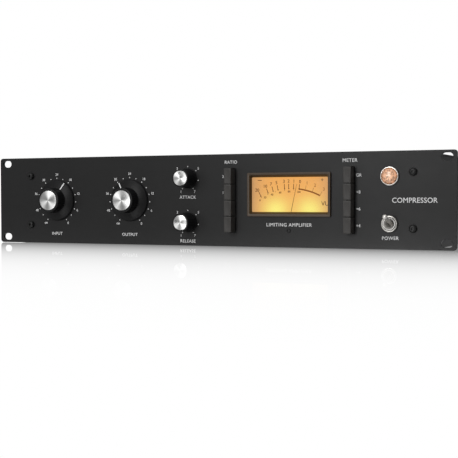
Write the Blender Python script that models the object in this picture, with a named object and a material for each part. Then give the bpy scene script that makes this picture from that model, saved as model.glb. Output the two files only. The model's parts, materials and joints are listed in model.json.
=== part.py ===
"""A two-unit, 19-inch rack compressor with a needle meter, modelled as separate parts.

Metres. +X is to the right when facing the front panel, +Y runs from the panel to the rear and
+Z is up. The origin is below the middle of the whole unit, on the surface that it stands on.
Every part hangs on an empty, the datum, in the middle of the panel's lower front edge, so a
part's depth is its distance behind the panel's front face.
"""

from dataclasses import dataclass
from math import cos, pi, radians, sin

import bmesh
import bpy

GAP = 0.0003  # between faces that touch on the real unit
SINK = 0.0004  # how far a shape reaches into the one that it is joined to

# ---- front panel -------------------------------------------------------------------------
PANEL_WIDTH = 0.4826
PANEL_HEIGHT = 0.0881
PANEL_THICKNESS = 0.003
PANEL_CORNER = 0.003
RACK_SLOT_SPACING_X = 0.4651
RACK_SLOT_SPACING_Z = 0.0762
RACK_SLOT_LENGTH = 0.0102
RACK_SLOT_HEIGHT = 0.007
EAR_WIDTH = 0.0238  # how far the panel reaches past the chassis on each side
MID_Z = PANEL_HEIGHT / 2
BEHIND_PANEL = PANEL_THICKNESS + GAP

# ---- chassis -----------------------------------------------------------------------------
CHASSIS_DEPTH = 0.190  # from the panel's rear face to the rear panel's outer face
CHASSIS_DROP = 0.0017  # how far the top cover lies below the panel's upper edge
SHEET = 0.0015
CHASSIS_WIDTH = PANEL_WIDTH - 2 * EAR_WIDTH
CHASSIS_HEIGHT = PANEL_HEIGHT - CHASSIS_DROP
CHASSIS_INNER_X = CHASSIS_WIDTH / 2 - SHEET
REAR_FACE = PANEL_THICKNESS + CHASSIS_DEPTH
REAR_INNER = REAR_FACE - SHEET
COVER_LIP = 0.008
FLANGE_WIDTH = 0.020
FLANGE_TOP = CHASSIS_HEIGHT - COVER_LIP - 0.002
STANDOFF_HEIGHT = 0.005
STANDOFF_RADIUS = 0.0025
VENT_LENGTH = 0.030
VENT_WIDTH = 0.003
VENT_PITCH = 0.011
VENT_ROWS = (0.055, 0.095)  # depths of the two rows of vents
VENTS_PER_ROW = 8
VENT_CENTRE_X = 0.110

# ---- panel screws ------------------------------------------------------------------------
PANEL_SCREW_INSET = 0.015  # from the chassis's side to the screw
PANEL_SCREW_RISE = 0.0252  # from mid-height to the screw
PANEL_SCREW_HEAD_RADIUS = 0.00365
PANEL_SCREW_HEAD_HEIGHT = 0.0026
PANEL_SCREW_SHANK_RADIUS = 0.0015
PANEL_SCREW_LENGTH = 0.009
HEX_SOCKET_RADIUS = 0.0014
HEX_SOCKET_DEPTH = 0.0014
SCREW_HOLE_RADIUS = PANEL_SCREW_SHANK_RADIUS + GAP

# ---- dials -------------------------------------------------------------------------------
SHAFT_RADIUS = 0.003
SHAFT_BORE = SHAFT_RADIUS + GAP
BUSHING_WALL = 0.0014
BUSHING_RADIUS = SHAFT_BORE + BUSHING_WALL
BUSHING_PROUD = 0.0035  # how far a bushing stands in front of the panel, inside the knob
KNOB_LIFT = 0.0008  # between the knob and the panel
CAP_THICKNESS = 0.0015
CAP_PROUD = 0.0004  # how far the metal cap stands above the knob's rim
KNOB_WEB = 0.0022  # material between the shaft's end and the cap
SHAFT_IN_POT = 0.007


@dataclass(frozen=True)
class DialSize:
    """The sizes of one size of dial, from the knob's skirt to the potentiometer behind it."""

    height: float  # from the panel to the cap's face
    cap_radius: float
    rim: float  # the knob's wall around the cap
    taper: float  # how much wider the barrel is at its foot
    skirt: float  # how far the skirt reaches past the barrel's foot
    skirt_edge: float  # the skirt's thickness at its edge
    skirt_rise: float  # how far the skirt rises from its edge to the barrel
    nut_space: float  # the hollow around the bushing, for its nut
    pot_radius: float
    pot_depth: float
    segments: int


LARGE_DIAL = DialSize(0.0168, 0.0100, 0.0019, 0.0006, 0.0080, 0.0018, 0.0022, 0.0048, 0.0120, 0.0120, 24)
SMALL_DIAL = DialSize(0.0170, 0.00725, 0.0010, 0.0004, 0.0007, 0.0022, 0.0008, 0.0024, 0.0085, 0.0100, 20)

DIALS = {  # name: (size, X, height above mid-height)
    "input": (LARGE_DIAL, -0.1706, 0.0),
    "output": (LARGE_DIAL, -0.0846, 0.0),
    "attack": (SMALL_DIAL, -0.0198, 0.0213),
    "release": (SMALL_DIAL, -0.0198, -0.0213),
}

# ---- push buttons ------------------------------------------------------------------------
BUTTON_WIDTH = 0.0073
BUTTON_PITCH = 0.01525
BUTTON_SPACING = 0.0004  # between one cap and the next
BUTTON_PROUD = 0.0098
BUTTON_TRAVEL = 0.0035
BUTTON_SIDE_GAP = 0.00035
BUTTON_EDGE = 0.0004
STEM_WIDTH = 0.0036
STEM_IN_BANK = 0.007
BANK_WIDTH = 0.011
BANK_DEPTH = 0.018
BANK_LUG = 0.004  # the part of a bank above and below the panel's opening
RATIO_X = 0.0267
METER_BUTTONS_X = 0.1445
BUTTON_HEIGHT = BUTTON_PITCH - BUTTON_SPACING
BUTTON_BACK = PANEL_THICKNESS - 0.0012
BANK_FACE = BUTTON_BACK + BUTTON_TRAVEL + 0.001
BUTTON_ROWS = {
    "ratio": (RATIO_X, ("20", "12", "8", "4")),
    "meter": (METER_BUTTONS_X, ("gr", "8", "6", "4")),
}
BUTTONS_IN_ROW = 4
BUTTON_OPENING_WIDTH = BUTTON_WIDTH + 2 * BUTTON_SIDE_GAP
BUTTON_OPENING_HEIGHT = BUTTONS_IN_ROW * BUTTON_PITCH - BUTTON_SPACING + 2 * BUTTON_SIDE_GAP

# ---- needle meter ------------------------------------------------------------------------
METER_X = 0.0851
METER_RISE = 0.0053  # of the meter's middle above mid-height
WINDOW_WIDTH = 0.0754
WINDOW_HEIGHT = 0.0325
WINDOW_DEPTH = 0.0013  # of the bezel's inner edge behind the panel's front face
BEZEL_SIDE = 0.00345  # the bezel's width to the left and right of the window
BEZEL_END = 0.00425  # the bezel's width above and below the window
BEZEL_WIDTH = WINDOW_WIDTH + 2 * BEZEL_SIDE
BEZEL_HEIGHT = WINDOW_HEIGHT + 2 * BEZEL_END
BEZEL_PROUD = 0.0024
BEZEL_RIM = 0.0020
BEZEL_CORNER = 0.0012
BEZEL_LIP = 0.0012  # how far the bezel covers the panel around its opening
GLASS_LEDGE = 0.0009
GLASS_THICKNESS = 0.001
NEEDLE_PLANE = BEHIND_PANEL + 0.0004
NEEDLE_THICKNESS = 0.0003
NEEDLE_WIDTH = 0.0006
NEEDLE_LENGTH = 0.0300
NEEDLE_TAIL = 0.005
NEEDLE_HUB_RADIUS = 0.0022
NEEDLE_REST = 12.4  # degrees clockwise from upright
PIVOT_BELOW_WINDOW = 0.0036  # of the needle's pivot below the window's edge
SCALE_PLATE_DEPTH = NEEDLE_PLANE + NEEDLE_THICKNESS + 0.0009
SCALE_PLATE_THICKNESS = 0.0008
CASE_WALL = 0.0015
CASE_DEPTH = 0.031
CASE_MARGIN = 0.0008  # of the case past the bezel's edge
MOVEMENT_RADIUS = 0.011
MOVEMENT_DEPTH = 0.014
ZERO_SCREW_RADIUS = 0.0014
ZERO_SCREW_PROUD = 0.0006
ZERO_SCREW_SLOT = 0.0005
ZERO_SCREW_DROP = 0.0138  # below the needle's pivot
METER_Z = MID_Z + METER_RISE
PIVOT_Z = METER_Z - WINDOW_HEIGHT / 2 - PIVOT_BELOW_WINDOW
ZERO_SCREW_Z = PIVOT_Z - ZERO_SCREW_DROP
CASE_WIDTH = BEZEL_WIDTH + 2 * CASE_MARGIN
CASE_TOP = METER_Z + BEZEL_HEIGHT / 2 + CASE_MARGIN
CASE_BOTTOM = ZERO_SCREW_Z - ZERO_SCREW_RADIUS - 0.001 - CASE_WALL

# ---- pilot lamp --------------------------------------------------------------------------
RIGHT_COLUMN_X = 0.1813
LAMP_RISE = 0.02155
JEWEL_RADIUS = 0.0062
JEWEL_PROUD = 0.005
JEWEL_FACETS = 12
LAMP_TUBE_WALL = 0.0006
LAMP_RING_RADIUS = 0.0084
LAMP_RING_HEIGHT = 0.0018
LAMP_TUBE_DEPTH = 0.006  # of the tube behind the panel
LAMP_HOLDER_LENGTH = 0.016

# ---- power toggle ------------------------------------------------------------------------
TOGGLE_DROP = 0.02115  # below mid-height
LEVER_PIVOT_DEPTH = 0.006
LEVER_LENGTH = 0.0229
LEVER_TIP_RADIUS = 0.0024
LEVER_NECK_RADIUS = 0.00125
LEVER_BALL_RADIUS = 0.0022
LEVER_TILT = 16.0  # degrees above level at rest
TOGGLE_MOUTH_RADIUS = 0.0047
TOGGLE_BUSHING_WALL = 0.001
TOGGLE_BUSHING_RADIUS = TOGGLE_MOUTH_RADIUS + TOGGLE_BUSHING_WALL
TOGGLE_BUSHING_PROUD = 0.0032
TOGGLE_NUT_WALL = 0.0016
TOGGLE_NUT_RADIUS = TOGGLE_BUSHING_RADIUS + GAP + TOGGLE_NUT_WALL
TOGGLE_NUT_HEIGHT = 0.0020
TOGGLE_BODY_WIDTH = 0.0135
TOGGLE_BODY_HEIGHT = 0.027
TOGGLE_BODY_DEPTH = 0.020

# ---- inside ------------------------------------------------------------------------------
BOARD_THICKNESS = 0.0016
BOARD_WIDTH = 0.260
BOARD_FROM_WALL = 0.006  # from the chassis's left wall
BOARD_FROM_REAR = 0.030
BOARD_FROM_CASE = 0.0022  # behind the meter's case
BOARD_FRONT = BEHIND_PANEL + CASE_DEPTH + BOARD_FROM_CASE
BOARD_DEPTH = REAR_INNER - BOARD_FROM_REAR - BOARD_FRONT
BOARD_Z = SHEET + STANDOFF_HEIGHT + GAP
CAN_WIDTH = 0.034
CAN_HEIGHT = 0.040
CAN_FROM_LEFT = (0.035, 0.110)  # from the board's left edge: input and output transformer
CAPACITOR_RADIUS = 0.015
CAPACITOR_HEIGHT = 0.045
MAINS_CORE_WIDTH = 0.068
MAINS_CORE_DEPTH = 0.034
MAINS_CORE_HEIGHT = 0.057
MAINS_COIL_OVERHANG = 0.011
MAINS_FROM_WALL = 0.060  # from the chassis's right wall to the transformer's middle
MAINS_FROM_REAR = 0.085

# ---- rear connectors ---------------------------------------------------------------------
XLR_X = {"input": -0.170, "output": -0.095}
JACK_X = {"input": -0.132, "output": -0.057}
XLR_FLANGE_SIDE = 0.0012  # of the flange past the barrel, left and right
XLR_FLANGE_END = 0.0037  # of the flange past the barrel, above and below
XLR_FLANGE_THICKNESS = 0.002
XLR_BARREL_DEPTH = 0.022
XLR_MOUTH_RADIUS = 0.0097
XLR_MOUTH_DEPTH = 0.013
XLR_WALL = 0.0021
XLR_GROOVE = 0.0019  # between the socket's insert and its shell
XLR_BARREL_RADIUS = XLR_MOUTH_RADIUS + XLR_WALL
XLR_INSERT_RADIUS = XLR_MOUTH_RADIUS - XLR_GROOVE
XLR_FLANGE_WIDTH = 2 * (XLR_BARREL_RADIUS + XLR_FLANGE_SIDE)
XLR_FLANGE_HEIGHT = 2 * (XLR_BARREL_RADIUS + XLR_FLANGE_END)
XLR_PIN_SPREAD = 0.0038
XLR_PIN_RADIUS = 0.0012
XLR_PIN_LENGTH = 0.0105
LATCH_WIDTH = 0.0060
LATCH_HEIGHT = 0.0026
LATCH_PROUD = 0.0014
LATCH_TRAVEL = 0.001
LATCH_LIFT = 0.0012  # from the mouth's edge to the latch
JACK_BORE_RADIUS = 0.00325
JACK_WALL = 0.00255
JACK_BUSHING_RADIUS = JACK_BORE_RADIUS + JACK_WALL
JACK_PROUD = 0.0034
JACK_BODY_RADIUS = JACK_BUSHING_RADIUS + 0.0027
JACK_BODY_DEPTH = 0.026
INLET_X = 0.168
INLET_FLANGE_THICKNESS = 0.0022
INLET_FLANGE_LIP = 0.00275  # of the flange past the body all round
INLET_BODY_DEPTH = 0.027
INLET_RECESS_WIDTH = 0.024
INLET_RECESS_HEIGHT = 0.0165
INLET_RECESS_DEPTH = 0.0145
INLET_CHAMFER = 0.004
INLET_WALL = 0.00225
BLADE_WIDTH = 0.002
BLADE_HEIGHT = 0.004
BLADE_LENGTH = 0.0115
BLADE_SPREAD = 0.007
DRAWER_WIDTH = 0.0225
DRAWER_HEIGHT = 0.0082
DRAWER_DEPTH = 0.022
INLET_BODY_WIDTH = INLET_RECESS_WIDTH + 2 * INLET_WALL
INLET_BODY_HEIGHT = INLET_RECESS_HEIGHT + DRAWER_HEIGHT + 2 * GAP + 4 * INLET_WALL
INLET_FLANGE_WIDTH = INLET_BODY_WIDTH + 2 * INLET_FLANGE_LIP
INLET_FLANGE_HEIGHT = INLET_BODY_HEIGHT + 2 * INLET_FLANGE_LIP
INLET_RECESS_DROP = (INLET_BODY_HEIGHT - INLET_RECESS_HEIGHT) / 2 - INLET_WALL
DRAWER_RISE = (INLET_BODY_HEIGHT - DRAWER_HEIGHT) / 2 - GAP - INLET_WALL
CONNECTOR_Z = MID_Z

# ---- the whole unit's reach in front of and behind the panel's front face ------------------
LEVER_REACH = LEVER_LENGTH * cos(radians(LEVER_TILT)) - LEVER_PIVOT_DEPTH + LEVER_TIP_RADIUS
FRONT_REACH = max(LEVER_REACH, LARGE_DIAL.height, SMALL_DIAL.height, BUTTON_PROUD)
LATCH_REACH = GAP + XLR_FLANGE_THICKNESS + LATCH_PROUD
REAR_REACH = REAR_FACE + max(LATCH_REACH, JACK_PROUD, GAP + INLET_FLANGE_THICKNESS)
DATUM_Y = -(REAR_REACH - FRONT_REACH) / 2

# ---- finishes: base colour, roughness, metallic --------------------------------------------
FINISHES = {
    "black_paint": ((0.020, 0.020, 0.021), 0.45, 0.0),
    "black_steel": ((0.030, 0.030, 0.032), 0.50, 0.3),
    "black_plastic": ((0.012, 0.012, 0.013), 0.40, 0.0),
    "button_plastic": ((0.030, 0.030, 0.031), 0.45, 0.0),
    "spun_aluminium": ((0.80, 0.80, 0.79), 0.28, 1.0),
    "bright_nickel": ((0.72, 0.71, 0.69), 0.18, 1.0),
    "plain_steel": ((0.55, 0.55, 0.54), 0.38, 1.0),
    "black_oxide": ((0.018, 0.018, 0.018), 0.35, 0.6),
    "scale_card": ((0.95, 0.60, 0.22), 0.60, 0.0),
    "needle_black": ((0.010, 0.010, 0.010), 0.50, 0.0),
    "clear_window": ((0.95, 0.95, 0.95), 0.05, 0.0),
    "amber_jewel": ((0.90, 0.45, 0.22), 0.12, 0.0),
    "circuit_board": ((0.02, 0.10, 0.05), 0.45, 0.0),
    "copper_coil": ((0.55, 0.22, 0.08), 0.45, 0.6),
}


# ---- materials, outlines and solids --------------------------------------------------------
def finish_material(name):
    """The material of a finish, made the first time that it is asked for."""
    made = bpy.data.materials.get(name)
    if made:
        return made
    colour, roughness, metallic = FINISHES[name]
    made = bpy.data.materials.new(name)
    made.use_nodes = True
    shader = made.node_tree.nodes["Principled BSDF"]
    shader.inputs["Base Color"].default_value = (*colour, 1.0)
    shader.inputs["Roughness"].default_value = roughness
    shader.inputs["Metallic"].default_value = metallic
    return made


def circle(radius, segments, centre=(0.0, 0.0)):
    """Points around a circle in X and Z, anticlockwise from below."""
    points = []
    for step in range(segments):
        angle = 2 * pi * step / segments - pi / 2
        points.append((centre[0] + radius * cos(angle), centre[1] + radius * sin(angle)))
    return points


def rectangle(width, height, corner=0.0, steps=2, centre=(0.0, 0.0)):
    """Points around a rectangle in X and Z, with round corners where corner isn't 0."""
    points = []
    quarters = ((1, -1), (1, 1), (-1, 1), (-1, -1))
    for quarter, (side, end) in enumerate(quarters):
        x = centre[0] + side * (width / 2 - corner)
        z = centre[1] + end * (height / 2 - corner)
        if corner == 0.0:
            points.append((x, z))
            continue
        for step in range(steps + 1):
            angle = pi / 2 * (quarter - 1 + step / steps)
            points.append((x + corner * cos(angle), z + corner * sin(angle)))
    return points


def slot(length, height, centre=(0.0, 0.0), steps=3):
    """Points around a slot with half-round ends, its length along X."""
    return rectangle(length, height, height / 2 - 1e-6, steps, centre)


def bridge(bm, first, second):
    """Faces between two loops of vertices, or between a loop and a single point."""
    count = max(len(first), len(second))
    for i in range(count):
        j = (i + 1) % count
        if len(first) == 1:
            bm.faces.new((first[0], second[i], second[j]))
        elif len(second) == 1:
            bm.faces.new((first[i], first[j], second[0]))
        else:
            bm.faces.new((first[i], first[j], second[j], second[i]))


def loft(bm, sections, ring=False):
    """A closed body through outlines at given depths, capped at both ends or joined as a ring."""
    loops = []
    for outline, depth in sections:
        loops.append([bm.verts.new((x, depth, z)) for x, z in outline])
    for first, second in zip(loops, loops[1:]):
        bridge(bm, first, second)
    if ring:
        bridge(bm, loops[-1], loops[0])
    else:
        bm.faces.new(loops[0])
        bm.faces.new(loops[-1])


def turn(bm, profile, segments):
    """A body turned about the Y axis from (radius, depth) points.

    A profile that starts and ends on the axis makes a solid. Any other one closes on itself.
    """
    loops = []
    for radius, depth in profile:
        if radius == 0.0:
            loops.append([bm.verts.new((0.0, depth, 0.0))])
        else:
            loops.append([bm.verts.new((x, depth, z)) for x, z in circle(radius, segments)])
    for first, second in zip(loops, loops[1:]):
        bridge(bm, first, second)
    if profile[0][0] > 0.0:
        bridge(bm, loops[-1], loops[0])


def box(bm, low, high):
    """A box between its lowest and highest corners."""
    middle = ((low[0] + high[0]) / 2, (low[2] + high[2]) / 2)
    outline = rectangle(high[0] - low[0], high[2] - low[2], centre=middle)
    loft(bm, [(outline, low[1]), (outline, high[1])])


def shape(builder):
    """A mesh made by builder, which fills an empty bmesh, with its faces pointing out."""
    bm = bmesh.new()
    builder(bm)
    bmesh.ops.recalc_face_normals(bm, faces=bm.faces)
    mesh = bpy.data.meshes.new("shape")
    bm.to_mesh(mesh)
    bm.free()
    return mesh


def part(name, mesh, finish, parent, location=(0.0, 0.0, 0.0), smooth=False):
    """One named part with its own finish."""
    made = bpy.data.objects.new(name, mesh)
    bpy.context.scene.collection.objects.link(made)
    mesh.materials.clear()
    mesh.materials.append(finish_material(finish))
    if smooth:
        mesh.shade_smooth()
        mesh.set_sharp_from_angle(angle=radians(35))
    made.parent = parent
    made.location = location
    return made


def guide(name, mesh, parent, location=(0.0, 0.0, 0.0)):
    """A shape that only cuts or adds to a part."""
    made = bpy.data.objects.new(name, mesh)
    bpy.context.scene.collection.objects.link(made)
    made.parent = parent
    made.location = location
    made.hide_render = True
    made.display_type = "WIRE"
    return made


def combine(target, other, operation):
    """Cut other from target, or join it to it."""
    modifier = target.modifiers.new(other.name, "BOOLEAN")
    modifier.operation = operation
    modifier.solver = "EXACT"
    modifier.object = other


def axis_empty(name, location, parent=None):
    """An empty on an axis, which carries what is placed from it."""
    made = bpy.data.objects.new(name, None)
    bpy.context.scene.collection.objects.link(made)
    made.parent = parent
    made.location = location
    return made


# ---- front panel and its screws ------------------------------------------------------------
def panel_screw_places():
    """X and Z of the four panel screws."""
    x = CHASSIS_WIDTH / 2 - PANEL_SCREW_INSET
    return [(sx * x, MID_Z + sz * PANEL_SCREW_RISE) for sx in (-1, 1) for sz in (1, -1)]


def hole(bm, outline, front, back):
    """One hole's cutter, which reaches past both faces."""
    loft(bm, [(outline, front - 0.001), (outline, back + 0.001)])


def front_panel(datum):
    """The panel, with an opening for each thing that passes through it."""

    def plate(bm):
        outline = rectangle(PANEL_WIDTH, PANEL_HEIGHT, PANEL_CORNER, 4, (0.0, MID_Z))
        loft(bm, [(outline, 0.0), (outline, PANEL_THICKNESS)])

    def openings(bm):
        outlines = []
        for sx in (-1, 1):
            for sz in (-1, 1):
                place = (sx * RACK_SLOT_SPACING_X / 2, MID_Z + sz * RACK_SLOT_SPACING_Z / 2)
                outlines.append(slot(RACK_SLOT_LENGTH, RACK_SLOT_HEIGHT, place))
        for place in panel_screw_places():
            outlines.append(circle(SCREW_HOLE_RADIUS, 12, place))
        for _, x, rise in DIALS.values():
            outlines.append(circle(BUSHING_RADIUS + GAP, 20, (x, MID_Z + rise)))
        for x, _ in BUTTON_ROWS.values():
            outlines.append(rectangle(BUTTON_OPENING_WIDTH, BUTTON_OPENING_HEIGHT, centre=(x, MID_Z)))
        meter = rectangle(*bezel_neck(GAP), BEZEL_CORNER, centre=(METER_X, METER_Z))
        outlines.append(meter)
        outlines.append(circle(ZERO_SCREW_RADIUS + GAP, 12, (METER_X, ZERO_SCREW_Z)))
        lamp = (RIGHT_COLUMN_X, MID_Z + LAMP_RISE)
        outlines.append(circle(lamp_tube_radius() + GAP, 24, lamp))
        toggle = (RIGHT_COLUMN_X, MID_Z - TOGGLE_DROP)
        outlines.append(circle(TOGGLE_BUSHING_RADIUS + GAP, 24, toggle))
        for outline in outlines:
            hole(bm, outline, 0.0, PANEL_THICKNESS)

    panel = part("front_panel", shape(plate), "black_paint", datum)
    combine(panel, guide("panel_openings", shape(openings), datum), "DIFFERENCE")


def panel_screws(datum):
    """Four button-head screws with hexagon sockets."""
    head = PANEL_SCREW_HEAD_RADIUS
    top = -GAP - PANEL_SCREW_HEAD_HEIGHT
    shank_end = PANEL_SCREW_LENGTH - GAP

    def screw(bm):
        profile = [
            (0.0, top), (head * 0.45, top), (head * 0.82, top + 0.0007), (head, top + 0.0018),
            (head, -GAP), (PANEL_SCREW_SHANK_RADIUS, -GAP), (PANEL_SCREW_SHANK_RADIUS, shank_end),
            (0.0, shank_end),
        ]
        turn(bm, profile, 12)

    def socket(bm):
        outline = circle(HEX_SOCKET_RADIUS, 6)
        loft(bm, [(outline, top - 0.001), (outline, top + HEX_SOCKET_DEPTH)])

    for index, (x, z) in enumerate(panel_screw_places(), start=1):
        place = (x, 0.0, z)
        made = part(f"panel_screw_{index}", shape(screw), "black_oxide", datum, place, smooth=True)
        cutter = guide(f"panel_screw_{index}_socket", shape(socket), datum, place)
        combine(made, cutter, "DIFFERENCE")


# ---- dials ---------------------------------------------------------------------------------
def dial(datum, name, size, x, z):
    """A knob with its metal cap and shaft on one axis, and the potentiometer behind the panel."""
    axis = axis_empty(f"{name}_axis", (x, 0.0, z), datum)
    bore = SHAFT_BORE
    barrel_top = size.cap_radius + GAP + size.rim
    barrel_foot = barrel_top + size.taper
    skirt = barrel_foot + size.skirt
    nut_space = BUSHING_RADIUS + size.nut_space
    knob_top = -(size.height - CAP_PROUD)
    seat = -(size.height - CAP_THICKNESS - GAP)
    bore_end = seat + KNOB_WEB
    edge = -(KNOB_LIFT + size.skirt_edge)
    hollow = -(BUSHING_PROUD + 2 * GAP)

    def knob(bm):
        profile = [
            (0.0, bore_end), (bore, bore_end), (bore, hollow), (nut_space, hollow),
            (nut_space, -KNOB_LIFT), (skirt, -KNOB_LIFT), (skirt, edge),
            (skirt - 0.0004, edge - 0.0003), (barrel_foot, edge - size.skirt_rise),
            (barrel_top, knob_top + 0.0005), (barrel_top - 0.0004, knob_top),
            (size.cap_radius + GAP, knob_top), (size.cap_radius + GAP, seat), (0.0, seat),
        ]
        turn(bm, profile, size.segments)

    def cap(bm):
        face = -size.height
        back = face + CAP_THICKNESS
        radius = size.cap_radius
        inner = radius - 0.0003
        profile = [(0.0, face), (inner, face), (radius, face + 0.0003), (radius, back), (0.0, back)]
        turn(bm, profile, size.segments)

    def shaft(bm):
        front = bore_end + GAP
        back = BEHIND_PANEL + SHAFT_IN_POT
        turn(bm, [(0.0, front), (SHAFT_RADIUS, front), (SHAFT_RADIUS, back), (0.0, back)], 12)

    def pot(bm):
        back = BEHIND_PANEL + size.pot_depth
        shaft_end = BEHIND_PANEL + SHAFT_IN_POT + GAP
        profile = [
            (0.0, back), (size.pot_radius, back), (size.pot_radius, BEHIND_PANEL),
            (BUSHING_RADIUS, BEHIND_PANEL), (BUSHING_RADIUS, -BUSHING_PROUD),
            (bore, -BUSHING_PROUD), (bore, shaft_end), (0.0, shaft_end),
        ]
        turn(bm, profile, 16)

    part(f"{name}_knob", shape(knob), "black_plastic", axis, smooth=True)
    part(f"{name}_knob_cap", shape(cap), "spun_aluminium", axis, smooth=True)
    part(f"{name}_pot_shaft", shape(shaft), "plain_steel", axis, smooth=True)
    part(f"{name}_pot", shape(pot), "plain_steel", axis, smooth=True)


# ---- push buttons --------------------------------------------------------------------------
def button_row(datum, row, x, labels):
    """Four push buttons, one above another, and the switch bank that they press."""
    stem_end = BANK_FACE + STEM_IN_BANK
    bore_end = stem_end + BUTTON_TRAVEL + GAP
    places = [MID_Z + (1.5 - index) * BUTTON_PITCH for index in range(BUTTONS_IN_ROW)]

    def button(bm):
        stem = rectangle(STEM_WIDTH, STEM_WIDTH, BUTTON_EDGE)
        cap = rectangle(BUTTON_WIDTH, BUTTON_HEIGHT, BUTTON_EDGE)
        face = rectangle(BUTTON_WIDTH - BUTTON_EDGE, BUTTON_HEIGHT - BUTTON_EDGE, BUTTON_EDGE)
        sections = [
            (stem, stem_end), (stem, BUTTON_BACK), (cap, BUTTON_BACK),
            (cap, -BUTTON_PROUD + BUTTON_EDGE), (face, -BUTTON_PROUD),
        ]
        loft(bm, sections)

    def bank(bm):
        low = MID_Z - BUTTON_OPENING_HEIGHT / 2 - BANK_LUG
        high = MID_Z + BUTTON_OPENING_HEIGHT / 2 + BANK_LUG
        back = BANK_FACE + BANK_DEPTH
        side = BANK_WIDTH / 2
        profile = [
            (BEHIND_PANEL, low), (BEHIND_PANEL, low + BANK_LUG), (BANK_FACE, low + BANK_LUG),
            (BANK_FACE, high - BANK_LUG), (BEHIND_PANEL, high - BANK_LUG), (BEHIND_PANEL, high),
            (back, high), (back, low),
        ]
        left = [bm.verts.new((x - side, y, z)) for y, z in profile]
        right = [bm.verts.new((x + side, y, z)) for y, z in profile]
        bridge(bm, left, right)
        bm.faces.new(left)
        bm.faces.new(right)

    def bores(bm):
        width = STEM_WIDTH + 2 * BUTTON_SIDE_GAP
        for z in places:
            outline = rectangle(width, width, centre=(x, z))
            loft(bm, [(outline, BANK_FACE - 0.001), (outline, bore_end)])

    for label, z in zip(labels, places):
        part(f"{row}_button_{label}", shape(button), "button_plastic", datum, (x, 0.0, z))
    switches = part(f"{row}_switch_bank", shape(bank), "black_plastic", datum)
    combine(switches, guide(f"{row}_switch_bores", shape(bores), datum), "DIFFERENCE")


# ---- needle meter --------------------------------------------------------------------------
def bezel_neck(clearance=0.0):
    """Width and height of the part of the bezel that passes through the panel."""
    less = 2 * (BEZEL_LIP - clearance)
    return BEZEL_WIDTH - less, BEZEL_HEIGHT - less


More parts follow.
